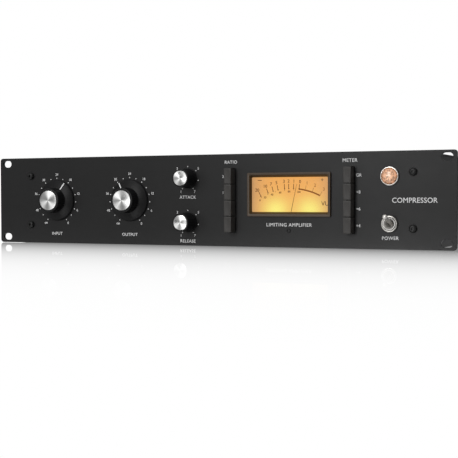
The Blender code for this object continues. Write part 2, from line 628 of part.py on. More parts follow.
def meter(datum):
    """The meter: bezel, window, scale plate, needle, movement and case, and its zero screw."""
    centre = (METER_X, METER_Z)
    front = -BEZEL_PROUD
    back = PANEL_THICKNESS - GAP
    ledge_width = WINDOW_WIDTH + 2 * GLASS_LEDGE
    ledge_height = WINDOW_HEIGHT + 2 * GLASS_LEDGE
    ledge = WINDOW_DEPTH + GAP

    def framed(width, height, corner=BEZEL_CORNER):
        return rectangle(width, height, corner, centre=centre)

    def bezel(bm):
        edge = 0.0004
        rim = 2 * BEZEL_RIM
        sections = [
            (framed(BEZEL_WIDTH - edge, BEZEL_HEIGHT - edge), front),
            (framed(BEZEL_WIDTH, BEZEL_HEIGHT), front + edge),
            (framed(BEZEL_WIDTH, BEZEL_HEIGHT), -GAP),
            (framed(*bezel_neck()), -GAP),
            (framed(*bezel_neck()), back),
            (framed(ledge_width, ledge_height), back),
            (framed(ledge_width, ledge_height), ledge),
            (framed(WINDOW_WIDTH, WINDOW_HEIGHT), ledge),
            (framed(WINDOW_WIDTH, WINDOW_HEIGHT), WINDOW_DEPTH),
            (framed(BEZEL_WIDTH - rim, BEZEL_HEIGHT - rim), front),
        ]
        loft(bm, sections, ring=True)

    def window(bm):
        outline = framed(ledge_width - 2 * GAP, ledge_height - 2 * GAP)
        loft(bm, [(outline, ledge + GAP), (outline, ledge + GAP + GLASS_THICKNESS)])

    def case(bm):
        height = CASE_TOP - CASE_BOTTOM
        middle = (METER_X, (CASE_TOP + CASE_BOTTOM) / 2)
        outer = rectangle(CASE_WIDTH, height, 0.003, centre=middle)
        inner = rectangle(CASE_WIDTH - 2 * CASE_WALL, height - 2 * CASE_WALL, 0.0015, centre=middle)
        rear = BEHIND_PANEL + CASE_DEPTH
        sections = [(outer, rear), (outer, BEHIND_PANEL), (inner, BEHIND_PANEL), (inner, rear - CASE_WALL)]
        loft(bm, sections)

    def scale_plate(bm):
        inside = CASE_WIDTH - 2 * CASE_WALL - 2 * GAP
        top = CASE_TOP - CASE_WALL - GAP
        bottom = PIVOT_Z + NEEDLE_HUB_RADIUS + GAP
        rear = SCALE_PLATE_DEPTH + SCALE_PLATE_THICKNESS
        low = (METER_X - inside / 2 + 0.0005, SCALE_PLATE_DEPTH, bottom)
        box(bm, low, (METER_X + inside / 2 - 0.0005, rear, top - 0.0005))

    def needle(bm):
        hub_points = 12
        half = NEEDLE_WIDTH / 2
        blade = radians(90) - half / NEEDLE_HUB_RADIUS
        outline = []
        for side in (1, -1):
            tip = half * 0.5 if side == 1 else half
            reach = side * (NEEDLE_LENGTH if side == 1 else NEEDLE_TAIL)
            for step in range(hub_points // 2 + 1):
                angle = -side * blade + side * 2 * blade * step / (hub_points // 2)
                outline.append((side * NEEDLE_HUB_RADIUS * cos(angle), NEEDLE_HUB_RADIUS * sin(angle)))
            outline.append((side * tip, reach))
            outline.append((-side * tip, reach))
        loft(bm, [(outline, 0.0), (outline, NEEDLE_THICKNESS)])

    def movement(bm):
        plate_back = SCALE_PLATE_DEPTH + SCALE_PLATE_THICKNESS + GAP
        rear = plate_back + MOVEMENT_DEPTH
        pivot = NEEDLE_PLANE + NEEDLE_THICKNESS + GAP
        edge = MOVEMENT_RADIUS - 0.001
        profile = [
            (0.0, pivot), (0.0012, pivot), (0.0018, plate_back), (edge, plate_back),
            (MOVEMENT_RADIUS, plate_back + 0.001), (MOVEMENT_RADIUS, rear), (0.0, rear),
        ]
        turn(bm, profile, 20)

    def zero_screw(bm):
        end = PANEL_THICKNESS
        top = -ZERO_SCREW_PROUD
        radius = ZERO_SCREW_RADIUS
        profile = [(0.0, top), (radius - 0.0003, top), (radius, top + 0.0003), (radius, end), (0.0, end)]
        turn(bm, profile, 12)

    def screw_slot(bm):
        reach = ZERO_SCREW_RADIUS + 0.001
        half = ZERO_SCREW_SLOT / 2
        box(bm, (-reach, -ZERO_SCREW_PROUD - 0.001, -half), (reach, 0.0, half))

    part("meter_bezel", shape(bezel), "black_plastic", datum)
    part("meter_window", shape(window), "clear_window", datum)
    part("meter_case", shape(case), "black_plastic", datum)
    part("meter_scale_plate", shape(scale_plate), "scale_card", datum)
    part("meter_movement", shape(movement), "plain_steel", datum, (METER_X, 0.0, PIVOT_Z), smooth=True)
    pointer = part("meter_needle", shape(needle), "needle_black", datum, (METER_X, NEEDLE_PLANE, PIVOT_Z))
    pointer.rotation_euler.y = radians(NEEDLE_REST)
    screw_place = (METER_X, 0.0, ZERO_SCREW_Z)
    screw = part("meter_zero_screw", shape(zero_screw), "black_oxide", datum, screw_place, smooth=True)
    cutter = guide("meter_zero_screw_slot", shape(screw_slot), datum, screw_place)
    combine(screw, cutter, "DIFFERENCE")


# ---- pilot lamp ----------------------------------------------------------------------------
def lamp_tube_radius():
    """Outer radius of the lamp's threaded tube, around the jewel."""
    return JEWEL_RADIUS + GAP + LAMP_TUBE_WALL


def pilot_lamp(datum):
    """A faceted jewel in a bright ring, with the lamp's holder behind the panel."""
    place = (RIGHT_COLUMN_X, 0.0, MID_Z + LAMP_RISE)
    inner = JEWEL_RADIUS + GAP
    tube = lamp_tube_radius()
    tube_end = PANEL_THICKNESS + LAMP_TUBE_DEPTH
    jewel_back = PANEL_THICKNESS

    def jewel(bm):
        crown = JEWEL_RADIUS * 0.62
        profile = [
            (0.0, -JEWEL_PROUD), (crown * 0.6, -JEWEL_PROUD + 0.0004), (crown, -JEWEL_PROUD + 0.0013),
            (JEWEL_RADIUS, -0.0014), (JEWEL_RADIUS, jewel_back), (0.0, jewel_back),
        ]
        turn(bm, profile, JEWEL_FACETS)

    def ring(bm):
        top = -GAP - LAMP_RING_HEIGHT
        outer = LAMP_RING_RADIUS
        profile = [
            (inner, top + 0.0004), (inner + 0.0004, top), (outer - 0.0006, top), (outer, top + 0.0006),
            (outer, -GAP), (tube, -GAP), (tube, tube_end), (inner, tube_end),
        ]
        turn(bm, profile, 24)

    def holder(bm):
        start = tube_end + GAP
        end = start + LAMP_HOLDER_LENGTH
        body = tube - 0.0006
        neck = jewel_back + GAP
        bulb = inner - 0.0022
        profile = [
            (0.0, neck), (bulb, neck + 0.0015), (bulb, start), (tube, start), (tube, start + 0.003),
            (body, start + 0.004), (body, end), (0.0, end),
        ]
        turn(bm, profile, 16)

    part("pilot_lamp_jewel", shape(jewel), "amber_jewel", datum, place)
    part("pilot_lamp_bezel", shape(ring), "bright_nickel", datum, place, smooth=True)
    part("pilot_lamp_holder", shape(holder), "black_plastic", datum, place, smooth=True)


# ---- power toggle --------------------------------------------------------------------------
def power_toggle(datum):
    """A bat-handle toggle: lever, body with its threaded bushing, and round nut."""
    z = MID_Z - TOGGLE_DROP
    place = (RIGHT_COLUMN_X, 0.0, z)
    pivot = (RIGHT_COLUMN_X, LEVER_PIVOT_DEPTH, z)
    socket = LEVER_BALL_RADIUS + 2 * GAP

    def lever(bm):
        steps = 5
        ball = LEVER_BALL_RADIUS
        tip = LEVER_TIP_RADIUS
        profile = []
        for step in range(steps):
            angle = radians(90 - 125 * step / (steps - 1))
            profile.append((ball * max(cos(angle), 0.0), ball * sin(angle)))
        profile[0] = (0.0, ball)
        profile.append((LEVER_NECK_RADIUS, -ball - 0.0008))
        for step in range(steps + 1):
            angle = radians(75 - 165 * step / steps)
            profile.append((tip * cos(angle), -LEVER_LENGTH + tip * sin(angle)))
        profile[-1] = (0.0, -LEVER_LENGTH - tip)
        turn(bm, profile, 16)

    def body(bm):
        steps = 4
        back = BEHIND_PANEL + TOGGLE_BODY_DEPTH
        count = 4 * (steps + 1)
        block = rectangle(TOGGLE_BODY_WIDTH, TOGGLE_BODY_HEIGHT, 0.001, steps)
        thread = circle(TOGGLE_BUSHING_RADIUS, count)
        mouth = circle(TOGGLE_MOUTH_RADIUS, count)
        seat = circle(socket, count)
        sections = [
            (block, back), (block, BEHIND_PANEL), (thread, BEHIND_PANEL),
            (thread, -TOGGLE_BUSHING_PROUD), (mouth, -TOGGLE_BUSHING_PROUD),
            (seat, LEVER_PIVOT_DEPTH - 0.001), (seat, LEVER_PIVOT_DEPTH + socket),
        ]
        loft(bm, sections)

    def nut(bm):
        bore = TOGGLE_BUSHING_RADIUS + GAP
        top = -GAP - TOGGLE_NUT_HEIGHT
        outer = TOGGLE_NUT_RADIUS
        profile = [
            (bore, top), (outer - 0.0007, top), (outer, top + 0.0007), (outer, -GAP), (bore, -GAP),
        ]
        turn(bm, profile, 24)

    handle = part("power_toggle_lever", shape(lever), "bright_nickel", datum, pivot, smooth=True)
    handle.rotation_euler.x = -radians(LEVER_TILT)
    part("power_toggle_body", shape(body), "plain_steel", datum, place)
    part("power_toggle_nut", shape(nut), "bright_nickel", datum, place, smooth=True)


# ---- chassis -------------------------------------------------------------------------------
def board_corner():
    """X and Y of the main board's left front corner."""
    return -CHASSIS_INNER_X + BOARD_FROM_WALL, BOARD_FRONT


def chassis(datum):
    """The folded tray with its side walls, the rear panel and the vented top cover."""
    half = CHASSIS_WIDTH / 2
    wall_top = CHASSIS_HEIGHT - SHEET - GAP
    front = BEHIND_PANEL
    rear = REAR_INNER - GAP

    def tray(bm):
        outline = [
            (-half, 0.0), (half, 0.0), (half, wall_top), (CHASSIS_INNER_X, wall_top),
            (CHASSIS_INNER_X, SHEET), (-CHASSIS_INNER_X, SHEET), (-CHASSIS_INNER_X, wall_top),
            (-half, wall_top),
        ]
        loft(bm, [(outline, front), (outline, rear)])

    def flanges(bm):
        for side in (-1, 1):
            outer = side * (CHASSIS_INNER_X + SINK)
            inner = side * (CHASSIS_INNER_X - FLANGE_WIDTH)
            low_x, high_x = sorted((outer, inner))
            for depth in (front, rear - SHEET):
                box(bm, (low_x, depth, SHEET - SINK), (high_x, depth + SHEET, FLANGE_TOP))

    def standoffs(bm):
        left, near = board_corner()
        inset = 0.008
        for x in (left + inset, left + BOARD_WIDTH / 2, left + BOARD_WIDTH - inset):
            for y in (near + inset, near + BOARD_DEPTH - inset):
                top = SHEET + STANDOFF_HEIGHT
                loops = []
                for z in (SHEET - SINK, top):
                    points = circle(STANDOFF_RADIUS, 10, (x, y))
                    loops.append([bm.verts.new((px, py, z)) for px, py in points])
                bridge(bm, *loops)
                bm.faces.new(loops[0])
                bm.faces.new(loops[1])

    def screw_holes(bm):
        for place in panel_screw_places():
            hole(bm, circle(SCREW_HOLE_RADIUS, 12, place), front, front + SHEET)

    def cover(bm):
        lip = CHASSIS_INNER_X - GAP
        under = CHASSIS_HEIGHT - SHEET
        lip_end = CHASSIS_HEIGHT - COVER_LIP
        outline = [
            (-half, under), (-lip, under), (-lip, lip_end), (-lip + SHEET, lip_end),
            (-lip + SHEET, under), (lip - SHEET, under), (lip - SHEET, lip_end), (lip, lip_end),
            (lip, under), (half, under), (half, CHASSIS_HEIGHT), (-half, CHASSIS_HEIGHT),
        ]
        loft(bm, [(outline, front), (outline, rear)])

    def vents(bm):
        low, high = CHASSIS_HEIGHT - SHEET - 0.001, CHASSIS_HEIGHT + 0.001
        for side in (-1, 1):
            for depth in VENT_ROWS:
                for index in range(VENTS_PER_ROW):
                    x = side * VENT_CENTRE_X + (index - (VENTS_PER_ROW - 1) / 2) * VENT_PITCH
                    outline = slot(VENT_LENGTH, VENT_WIDTH, steps=1)
                    loops = []
                    y = REAR_INNER - depth
                    for z in (low, high):
                        loops.append([bm.verts.new((x + py, y + px, z)) for px, py in outline])
                    bridge(bm, *loops)
                    bm.faces.new(loops[0])
                    bm.faces.new(loops[1])

    folded = part("chassis_tray", shape(tray), "black_steel", datum)
    combine(folded, guide("tray_flanges", shape(flanges), datum), "UNION")
    combine(folded, guide("tray_standoffs", shape(standoffs), datum), "UNION")
    combine(folded, guide("tray_screw_holes", shape(screw_holes), datum), "DIFFERENCE")
    lid = part("top_cover", shape(cover), "black_steel", datum)
    combine(lid, guide("cover_vents", shape(vents), datum), "DIFFERENCE")


def rear_panel(datum):
    """The rear panel, with a hole for each connector."""
    middle = CHASSIS_HEIGHT / 2

    def plate(bm):
        outline = rectangle(CHASSIS_WIDTH, CHASSIS_HEIGHT, centre=(0.0, middle))
        loft(bm, [(outline, REAR_INNER), (outline, REAR_FACE)])

    def openings(bm):
        outlines = []
        for x in XLR_X.values():
            outlines.append(circle(XLR_BARREL_RADIUS + GAP, 24, (x, CONNECTOR_Z)))
        for x in JACK_X.values():
            outlines.append(circle(JACK_BUSHING_RADIUS + GAP, 20, (x, CONNECTOR_Z)))
        width = INLET_BODY_WIDTH + 2 * GAP
        height = INLET_BODY_HEIGHT + 2 * GAP
        outlines.append(rectangle(width, height, centre=(INLET_X, CONNECTOR_Z)))
        for outline in outlines:
            hole(bm, outline, REAR_INNER, REAR_FACE)

    def latch_notch(bm):
        outline = rectangle(LATCH_WIDTH + 4 * GAP, LATCH_HEIGHT + 4 * GAP, centre=latch_place())
        hole(bm, outline, REAR_INNER, REAR_FACE)

    plain = part("rear_panel", shape(plate), "black_steel", datum)
    combine(plain, guide("rear_openings", shape(openings), datum), "DIFFERENCE")
    combine(plain, guide("rear_latch_notch", shape(latch_notch), datum), "DIFFERENCE")


# ---- inside --------------------------------------------------------------------------------
def upright(bm, outline, low, high, edge=0.0):
    """A body that stands on end, from an outline in X and Y, with its upper edge taken off."""
    middle_x = sum(x for x, _ in outline) / len(outline)
    middle_y = sum(y for _, y in outline) / len(outline)
    loops = []
    levels = [(low, 0.0), (high, 0.0)] if edge == 0.0 else [(low, 0.0), (high - edge, 0.0), (high, edge)]
    for z, inset in levels:
        loop = []
        for x, y in outline:
            span = max(abs(x - middle_x), abs(y - middle_y))
            share = 1 - inset / span
            at_x = middle_x + (x - middle_x) * share
            at_y = middle_y + (y - middle_y) * share
            loop.append(bm.verts.new((at_x, at_y, z)))
        loops.append(loop)
    for first, second in zip(loops, loops[1:]):
        bridge(bm, first, second)
    bm.faces.new(loops[0])
    bm.faces.new(loops[-1])


def electronics(datum):
    """The main board with its two signal transformers and capacitor, and the mains transformer."""
    left, near = board_corner()
    top = BOARD_Z + BOARD_THICKNESS + GAP
    middle_y = near + BOARD_DEPTH / 2

    def board(bm):
        box(bm, (left, near, BOARD_Z), (left + BOARD_WIDTH, near + BOARD_DEPTH, BOARD_Z + BOARD_THICKNESS))

    def can(from_left):
        def build(bm):
            outline = rectangle(CAN_WIDTH, CAN_WIDTH, 0.003, 2, (left + from_left, middle_y))
            upright(bm, outline, top, top + CAN_HEIGHT, 0.0015)
        return build

    def capacitor(bm):
        outline = circle(CAPACITOR_RADIUS, 18, (left + BOARD_WIDTH - 2 * CAPACITOR_RADIUS, middle_y))
        upright(bm, outline, top, top + CAPACITOR_HEIGHT, 0.001)

    def mains(bm):
        x = CHASSIS_INNER_X - MAINS_FROM_WALL
        y = REAR_INNER - MAINS_FROM_REAR
        floor = SHEET + GAP
        core = rectangle(MAINS_CORE_WIDTH, MAINS_CORE_DEPTH, centre=(x, y))
        upright(bm, core, floor, floor + MAINS_CORE_HEIGHT)

    def coil(bm):
        x = CHASSIS_INNER_X - MAINS_FROM_WALL
        y = REAR_INNER - MAINS_FROM_REAR
        depth = MAINS_CORE_DEPTH + 2 * MAINS_COIL_OVERHANG
        quarter = MAINS_CORE_WIDTH / 6
        outline = rectangle(4 * quarter, depth, 0.008, 3, (x, y))
        floor = SHEET + GAP
        upright(bm, outline, floor + quarter, floor + MAINS_CORE_HEIGHT - quarter)

    part("main_board", shape(board), "circuit_board", datum)
    for name, from_left in zip(("input", "output"), CAN_FROM_LEFT):
        part(f"{name}_transformer", shape(can(from_left)), "plain_steel", datum)
    part("filter_capacitor", shape(capacitor), "black_plastic", datum)
    core = part("mains_transformer", shape(mains), "plain_steel", datum)
    combine(core, guide("mains_coil", shape(coil), datum), "UNION")


# ---- rear connectors -----------------------------------------------------------------------
def latch_place():
    """X and Z of the latch's middle on the input socket's flange."""
    z = CONNECTOR_Z + XLR_MOUTH_RADIUS + LATCH_LIFT + LATCH_HEIGHT / 2
    return XLR_X["input"], z


def pin_places():
    """X and Z of a three-pin connector's contacts about its middle."""
    return [(-XLR_PIN_SPREAD, 0.0), (XLR_PIN_SPREAD, 0.0), (0.0, -XLR_PIN_SPREAD)]


def xlr_body(bm, mouth_sections, steps=5):
    """The barrel and flange that both three-pin connectors share, and what their mouth holds."""
    count = 4 * (steps + 1)
    barrel = circle(XLR_BARREL_RADIUS, count)
    flange = rectangle(XLR_FLANGE_WIDTH, XLR_FLANGE_HEIGHT, 0.003, steps)
    face = GAP + XLR_FLANGE_THICKNESS
    sections = [(barrel, -XLR_BARREL_DEPTH), (barrel, GAP), (flange, GAP), (flange, face)]
    for radius, depth in mouth_sections:
        sections.append((circle(radius, count), depth))
    loft(bm, sections)


def three_pin_connectors(datum):
    """The balanced input socket with its latch, and the balanced output plug."""
    face = GAP + XLR_FLANGE_THICKNESS
    floor = face - XLR_MOUTH_DEPTH

    def socket(bm):
        mouth = [
            (XLR_MOUTH_RADIUS, face), (XLR_MOUTH_RADIUS, floor), (XLR_INSERT_RADIUS, floor),
            (XLR_INSERT_RADIUS, face - 0.0005),
        ]
        xlr_body(bm, mouth)

    def contacts(bm):
        for place in pin_places():
            outline = circle(XLR_PIN_RADIUS + GAP, 8, place)
            loft(bm, [(outline, face + 0.001), (outline, face - XLR_PIN_LENGTH)])

    def latch_slot(bm):
        place_z = latch_place()[1] - CONNECTOR_Z
        outline = rectangle(LATCH_WIDTH + 2 * GAP, LATCH_HEIGHT + 2 * GAP, centre=(0.0, place_z))
        loft(bm, [(outline, -LATCH_TRAVEL - GAP), (outline, face + 0.001)])

    def plug(bm):
        xlr_body(bm, [(XLR_MOUTH_RADIUS, face), (XLR_MOUTH_RADIUS, floor)])

    def pins(bm):
        for place in pin_places():
            outline = circle(XLR_PIN_RADIUS, 8, place)
            tip = circle(XLR_PIN_RADIUS * 0.6, 8, place)
            end = floor + XLR_PIN_LENGTH
            loft(bm, [(outline, floor - SINK), (outline, end - 0.0006), (tip, end)])

    def latch(bm):
        outline = rectangle(LATCH_WIDTH, LATCH_HEIGHT)
        loft(bm, [(outline, 0.0), (outline, face + LATCH_PROUD)])

    place = (XLR_X["input"], REAR_FACE, CONNECTOR_Z)
    made = part("xlr_input", shape(socket), "bright_nickel", datum, place)
    combine(made, guide("xlr_input_contacts", shape(contacts), datum, place), "DIFFERENCE")
    combine(made, guide("xlr_input_latch_slot", shape(latch_slot), datum, place), "DIFFERENCE")
    latch_x, latch_z = latch_place()
    part("xlr_input_latch", shape(latch), "plain_steel", datum, (latch_x, REAR_FACE, latch_z))
    place = (XLR_X["output"], REAR_FACE, CONNECTOR_Z)
    made = part("xlr_output", shape(plug), "bright_nickel", datum, place)
    combine(made, guide("xlr_output_pins", shape(pins), datum, place), "UNION")


def jack_sockets(datum):
    """Two jack sockets, each held by the thread that passes through the rear panel."""
    inside = -SHEET - GAP

    def jack(bm):
        profile = [
            (0.0, inside - JACK_BODY_DEPTH), (JACK_BODY_RADIUS, inside - JACK_BODY_DEPTH),
            (JACK_BODY_RADIUS, inside), (JACK_BUSHING_RADIUS, inside),
            (JACK_BUSHING_RADIUS, JACK_PROUD - 0.0004), (JACK_BUSHING_RADIUS - 0.0004, JACK_PROUD),
            (JACK_BORE_RADIUS, JACK_PROUD), (JACK_BORE_RADIUS, inside - JACK_BODY_DEPTH + 0.002),
            (0.0, inside - JACK_BODY_DEPTH + 0.002),
        ]
        turn(bm, profile, 16)

    for name, x in JACK_X.items():
        place = (x, REAR_FACE, CONNECTOR_Z)
        part(f"jack_{name}", shape(jack), "bright_nickel", datum, place, smooth=True)


def mains_inlet(datum):
    """The mains inlet with its three blades, and the fuse drawer above them."""
    face = GAP + INLET_FLANGE_THICKNESS
    recess_floor = face - INLET_RECESS_DEPTH
    half = INLET_RECESS_WIDTH / 2
    low = -INLET_RECESS_DROP - INLET_RECESS_HEIGHT / 2
    high = low + INLET_RECESS_HEIGHT
    drawer_back = face - DRAWER_DEPTH

    def inlet(bm):
        body = rectangle(INLET_BODY_WIDTH, INLET_BODY_HEIGHT, 0.001)
        flange = rectangle(INLET_FLANGE_WIDTH, INLET_FLANGE_HEIGHT, 0.003)
        loft(bm, [(body, -INLET_BODY_DEPTH), (body, GAP), (flange, GAP), (flange, face)])

    def hollows(bm):
        chamfer = INLET_CHAMFER
        recess = [
            (-half, low), (half, low), (half, high - chamfer), (half - chamfer, high),
            (chamfer - half, high), (-half, high - chamfer),
        ]
        loft(bm, [(recess, recess_floor), (recess, face + 0.001)])
        drawer = rectangle(DRAWER_WIDTH + 2 * GAP, DRAWER_HEIGHT + 2 * GAP, centre=(0.0, DRAWER_RISE))
        loft(bm, [(drawer, drawer_back - GAP), (drawer, face + 0.001)])

    def blades(bm):
        middle = low + INLET_RECESS_HEIGHT / 2
        tops = [(-BLADE_SPREAD, middle), (BLADE_SPREAD, middle), (0.0, middle - BLADE_HEIGHT)]
        for place in tops:
            outline = rectangle(BLADE_WIDTH, BLADE_HEIGHT, centre=place)
            loft(bm, [(outline, recess_floor - SINK), (outline, recess_floor + BLADE_LENGTH)])

    def drawer(bm):
        outline = rectangle(DRAWER_WIDTH, DRAWER_HEIGHT, 0.0005)
        loft(bm, [(outline, drawer_back), (outline, face)])

    place = (INLET_X, REAR_FACE, CONNECTOR_Z)
    made = part("iec_inlet", shape(inlet), "black_plastic", datum, place)
    combine(made, guide("iec_inlet_hollows", shape(hollows), datum, place), "DIFFERENCE")
    combine(made, guide("iec_inlet_blades", shape(blades), datum, place), "UNION")
    drawer_place = (INLET_X, REAR_FACE, CONNECTOR_Z + DRAWER_RISE)
    part("fuse_drawer", shape(drawer), "black_plastic", datum, drawer_place)


def build():
    """Build the whole unit."""
    for old in list(bpy.data.objects):
        bpy.data.objects.remove(old, do_unlink=True)
    datum = axis_empty("datum", (0.0, DATUM_Y, 0.0))
    front_panel(datum)
    panel_screws(datum)
    for name, (size, x, rise) in DIALS.items():
        dial(datum, name, size, x, MID_Z + rise)
    for row, (x, labels) in BUTTON_ROWS.items():
        button_row(datum, row, x, labels)
    meter(datum)
    pilot_lamp(datum)
    power_toggle(datum)
    chassis(datum)
    rear_panel(datum)
    electronics(datum)
    three_pin_connectors(datum)
    jack_sockets(datum)
    mains_inlet(datum)


build()
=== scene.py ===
"""The looks of a two-unit rack compressor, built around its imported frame.

Metres, in the frame's own axes: +X to the right when facing the panel, +Y from the panel to the
rear, +Z up. Each sub-assembly is a class that reads its place from the frame's nodes, models its
pieces and dresses them in their finishes.
"""

import json
import logging
from abc import ABC, abstractmethod
from collections.abc import Callable, Iterator, Sequence
from contextlib import contextmanager
from dataclasses import dataclass
from enum import Enum
from itertools import product
from math import atan2, cos, hypot, pi, radians, sin

import bpy
from mathutils import Matrix, Vector

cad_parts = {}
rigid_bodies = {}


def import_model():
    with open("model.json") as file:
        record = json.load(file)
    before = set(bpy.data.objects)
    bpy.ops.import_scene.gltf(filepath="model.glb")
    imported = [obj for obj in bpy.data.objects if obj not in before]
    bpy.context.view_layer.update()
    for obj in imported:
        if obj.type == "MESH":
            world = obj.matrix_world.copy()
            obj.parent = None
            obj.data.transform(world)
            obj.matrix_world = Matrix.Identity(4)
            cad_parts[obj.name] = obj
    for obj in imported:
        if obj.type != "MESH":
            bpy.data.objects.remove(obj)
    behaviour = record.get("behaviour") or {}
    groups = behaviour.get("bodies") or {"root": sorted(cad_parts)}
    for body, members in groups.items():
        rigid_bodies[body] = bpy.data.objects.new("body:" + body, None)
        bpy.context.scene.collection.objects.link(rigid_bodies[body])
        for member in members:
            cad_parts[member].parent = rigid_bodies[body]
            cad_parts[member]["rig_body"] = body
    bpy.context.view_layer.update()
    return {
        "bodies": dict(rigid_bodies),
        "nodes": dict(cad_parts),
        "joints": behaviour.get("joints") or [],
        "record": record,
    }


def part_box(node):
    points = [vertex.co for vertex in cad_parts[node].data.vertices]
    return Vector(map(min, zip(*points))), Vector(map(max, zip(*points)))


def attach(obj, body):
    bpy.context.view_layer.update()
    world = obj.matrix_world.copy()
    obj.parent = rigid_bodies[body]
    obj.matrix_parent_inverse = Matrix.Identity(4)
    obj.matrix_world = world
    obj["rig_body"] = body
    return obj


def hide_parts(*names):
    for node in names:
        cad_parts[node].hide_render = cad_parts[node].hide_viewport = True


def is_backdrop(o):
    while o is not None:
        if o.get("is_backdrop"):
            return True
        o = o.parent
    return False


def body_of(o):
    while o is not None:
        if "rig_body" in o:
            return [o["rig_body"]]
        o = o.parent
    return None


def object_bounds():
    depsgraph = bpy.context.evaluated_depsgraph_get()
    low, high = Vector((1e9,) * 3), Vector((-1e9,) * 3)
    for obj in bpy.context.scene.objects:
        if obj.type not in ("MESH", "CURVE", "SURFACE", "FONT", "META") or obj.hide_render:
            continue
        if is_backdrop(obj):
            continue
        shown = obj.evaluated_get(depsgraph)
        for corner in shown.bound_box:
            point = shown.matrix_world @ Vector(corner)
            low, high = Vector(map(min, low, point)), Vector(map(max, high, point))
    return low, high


LOG = logging.getLogger("rack_compressor")

Colour = tuple[float, float, float]
Profile = Sequence[tuple[float, float]]
Piece = bpy.types.Object
Material = bpy.types.Material
NodeTree = bpy.types.NodeTree
Node = bpy.types.Node
Socket = bpy.types.NodeSocket

MM = 0.001
MERGE = 1e-6  # points closer than this are one
WHITE = (1.0, 1.0, 1.0, 1.0)
HAIR = 0.02 * MM  # how far print stands proud of what it is printed on


class Facing(Enum):
    """Which way a flat or turned piece faces. It is modelled facing the front, along -Y."""

    FRONT = Matrix.Identity(4)
    REAR = Matrix.Rotation(pi, 4, "Z")
    RIGHT = Matrix.Rotation(pi / 2, 4, "Z")
    LEFT = Matrix.Rotation(-pi / 2, 4, "Z")
    UP = Matrix.Rotation(-pi / 2, 4, "X")


class Align(Enum):
    """How a word stands about its own point."""

    LEFT = "LEFT"
    CENTRE = "CENTER"
    RIGHT = "RIGHT"


# ---- modelling by hand ---------------------------------------------------------------------
def activate(piece: Piece, *others: Piece) -> None:
    """Select a piece, and any others with it, and make it the active one.

    Args:
        piece: The piece that operators work on.
        others: Pieces that are selected with it.
    """
    bpy.ops.object.select_all(action="DESELECT")
    for selected in (piece, *others):
        selected.select_set(True)
    bpy.context.view_layer.objects.active = piece


def choose(piece: Piece, kind: str, test: Callable[..., bool]) -> None:
    """Choose points, edges or faces of a mesh by their place.

    Args:
        piece: The piece whose mesh is searched.
        kind: "points", "edges" or "faces".
        test: Takes a point, an edge's two ends, or a face's centre and normal.
    """
    mesh = piece.data
    for items in (mesh.vertices, mesh.edges, mesh.polygons):
        items.foreach_set("select", [False] * len(items))
    bpy.context.tool_settings.mesh_select_mode = (kind == "points", kind == "edges", kind == "faces")
    if kind == "points":
        for point in mesh.vertices:
            point.select = test(point.co)
    elif kind == "edges":
        for edge in mesh.edges:
            first, second = (mesh.vertices[index].co for index in edge.vertices)
            edge.select = test(first, second)
    else:
        for face in mesh.polygons:
            face.select = test(face.center, face.normal)


@contextmanager
def editing(
    piece: Piece, kind: str = "faces", test: Callable[..., bool] = lambda *_: True
) -> Iterator[None]:
    """Edit the points, edges or faces of a piece that pass a test, which all do if none is given.

    Args:
        piece: The piece to edit.
        kind: "points", "edges" or "faces".
        test: What choose takes.
    """
    choose(piece, kind, test)
    activate(piece)
    bpy.ops.object.mode_set(mode="EDIT")
    try:
        yield
    finally:
        bpy.ops.object.mode_set(mode="OBJECT")


def discard(piece: Piece) -> None:
    """Remove a piece that was only a model or a tool."""
    bpy.data.objects.remove(piece, do_unlink=True)


def tidy_mesh(piece: Piece) -> Piece:
    """Merge a piece's doubled points and turn its faces outwards."""
    with editing(piece, "points"):
        bpy.ops.mesh.remove_doubles(threshold=MERGE)
        bpy.ops.mesh.select_all(action="SELECT")
        bpy.ops.mesh.normals_make_consistent(inside=False)
    return piece


def place(piece: Piece, at: Vector, facing: Facing = Facing.FRONT, spin: float = 0.0) -> Piece:
    """Turn a finished piece about the origin, move it, and put its place into its mesh.

    Args:
        piece: A piece modelled at the origin, facing the front.
        at: Where its origin goes.
        facing: Which way it faces there.
        spin: How far it is turned about its own axis first, in radians, clockwise from the front.

    Returns:
        The same piece.
    """
    activate(piece)
    turned_about_axis = Matrix.Rotation(spin, 4, "Y")
    piece.matrix_world = Matrix.Translation(at) @ facing.value @ turned_about_axis
    bpy.ops.object.transform_apply(location=True, rotation=True, scale=True)
    return piece


def block(name: str, low: Sequence[float], high: Sequence[float]) -> Piece:
    """A rectangular blank between its lowest and highest corners.

    Args:
        name: The piece's name.
        low: Its lowest corner.
        high: Its highest corner.

    Returns:
        The new piece.
    """
    low, high = Vector(low), Vector(high)
    bpy.ops.mesh.primitive_cube_add(size=1.0, location=(low + high) / 2, scale=high - low)
    piece = bpy.context.object
    piece.name = piece.data.name = name
    bpy.ops.object.transform_apply(location=True, rotation=True, scale=True)
    return piece


def round_corners(piece: Piece, radius: float, axis: int = 1, segments: int = 6) -> Piece:
    """Round the edges of a block that run along one axis.

    Args:
        piece: The block.
        radius: The corners' radius.
        axis: 0, 1 or 2 for edges along X, Y or Z.
        segments: Steps in each corner.

    Returns:
        The same piece.
    """
    others = [index for index in range(3) if index != axis]

    def along(first: Vector, second: Vector) -> bool:
        """Whether an edge runs along the axis."""
        return all(abs(first[index] - second[index]) < MERGE for index in others)

    with editing(piece, "edges", along):
        bpy.ops.mesh.bevel(offset=radius, offset_type="OFFSET", segments=segments, affect="EDGES")
    return piece


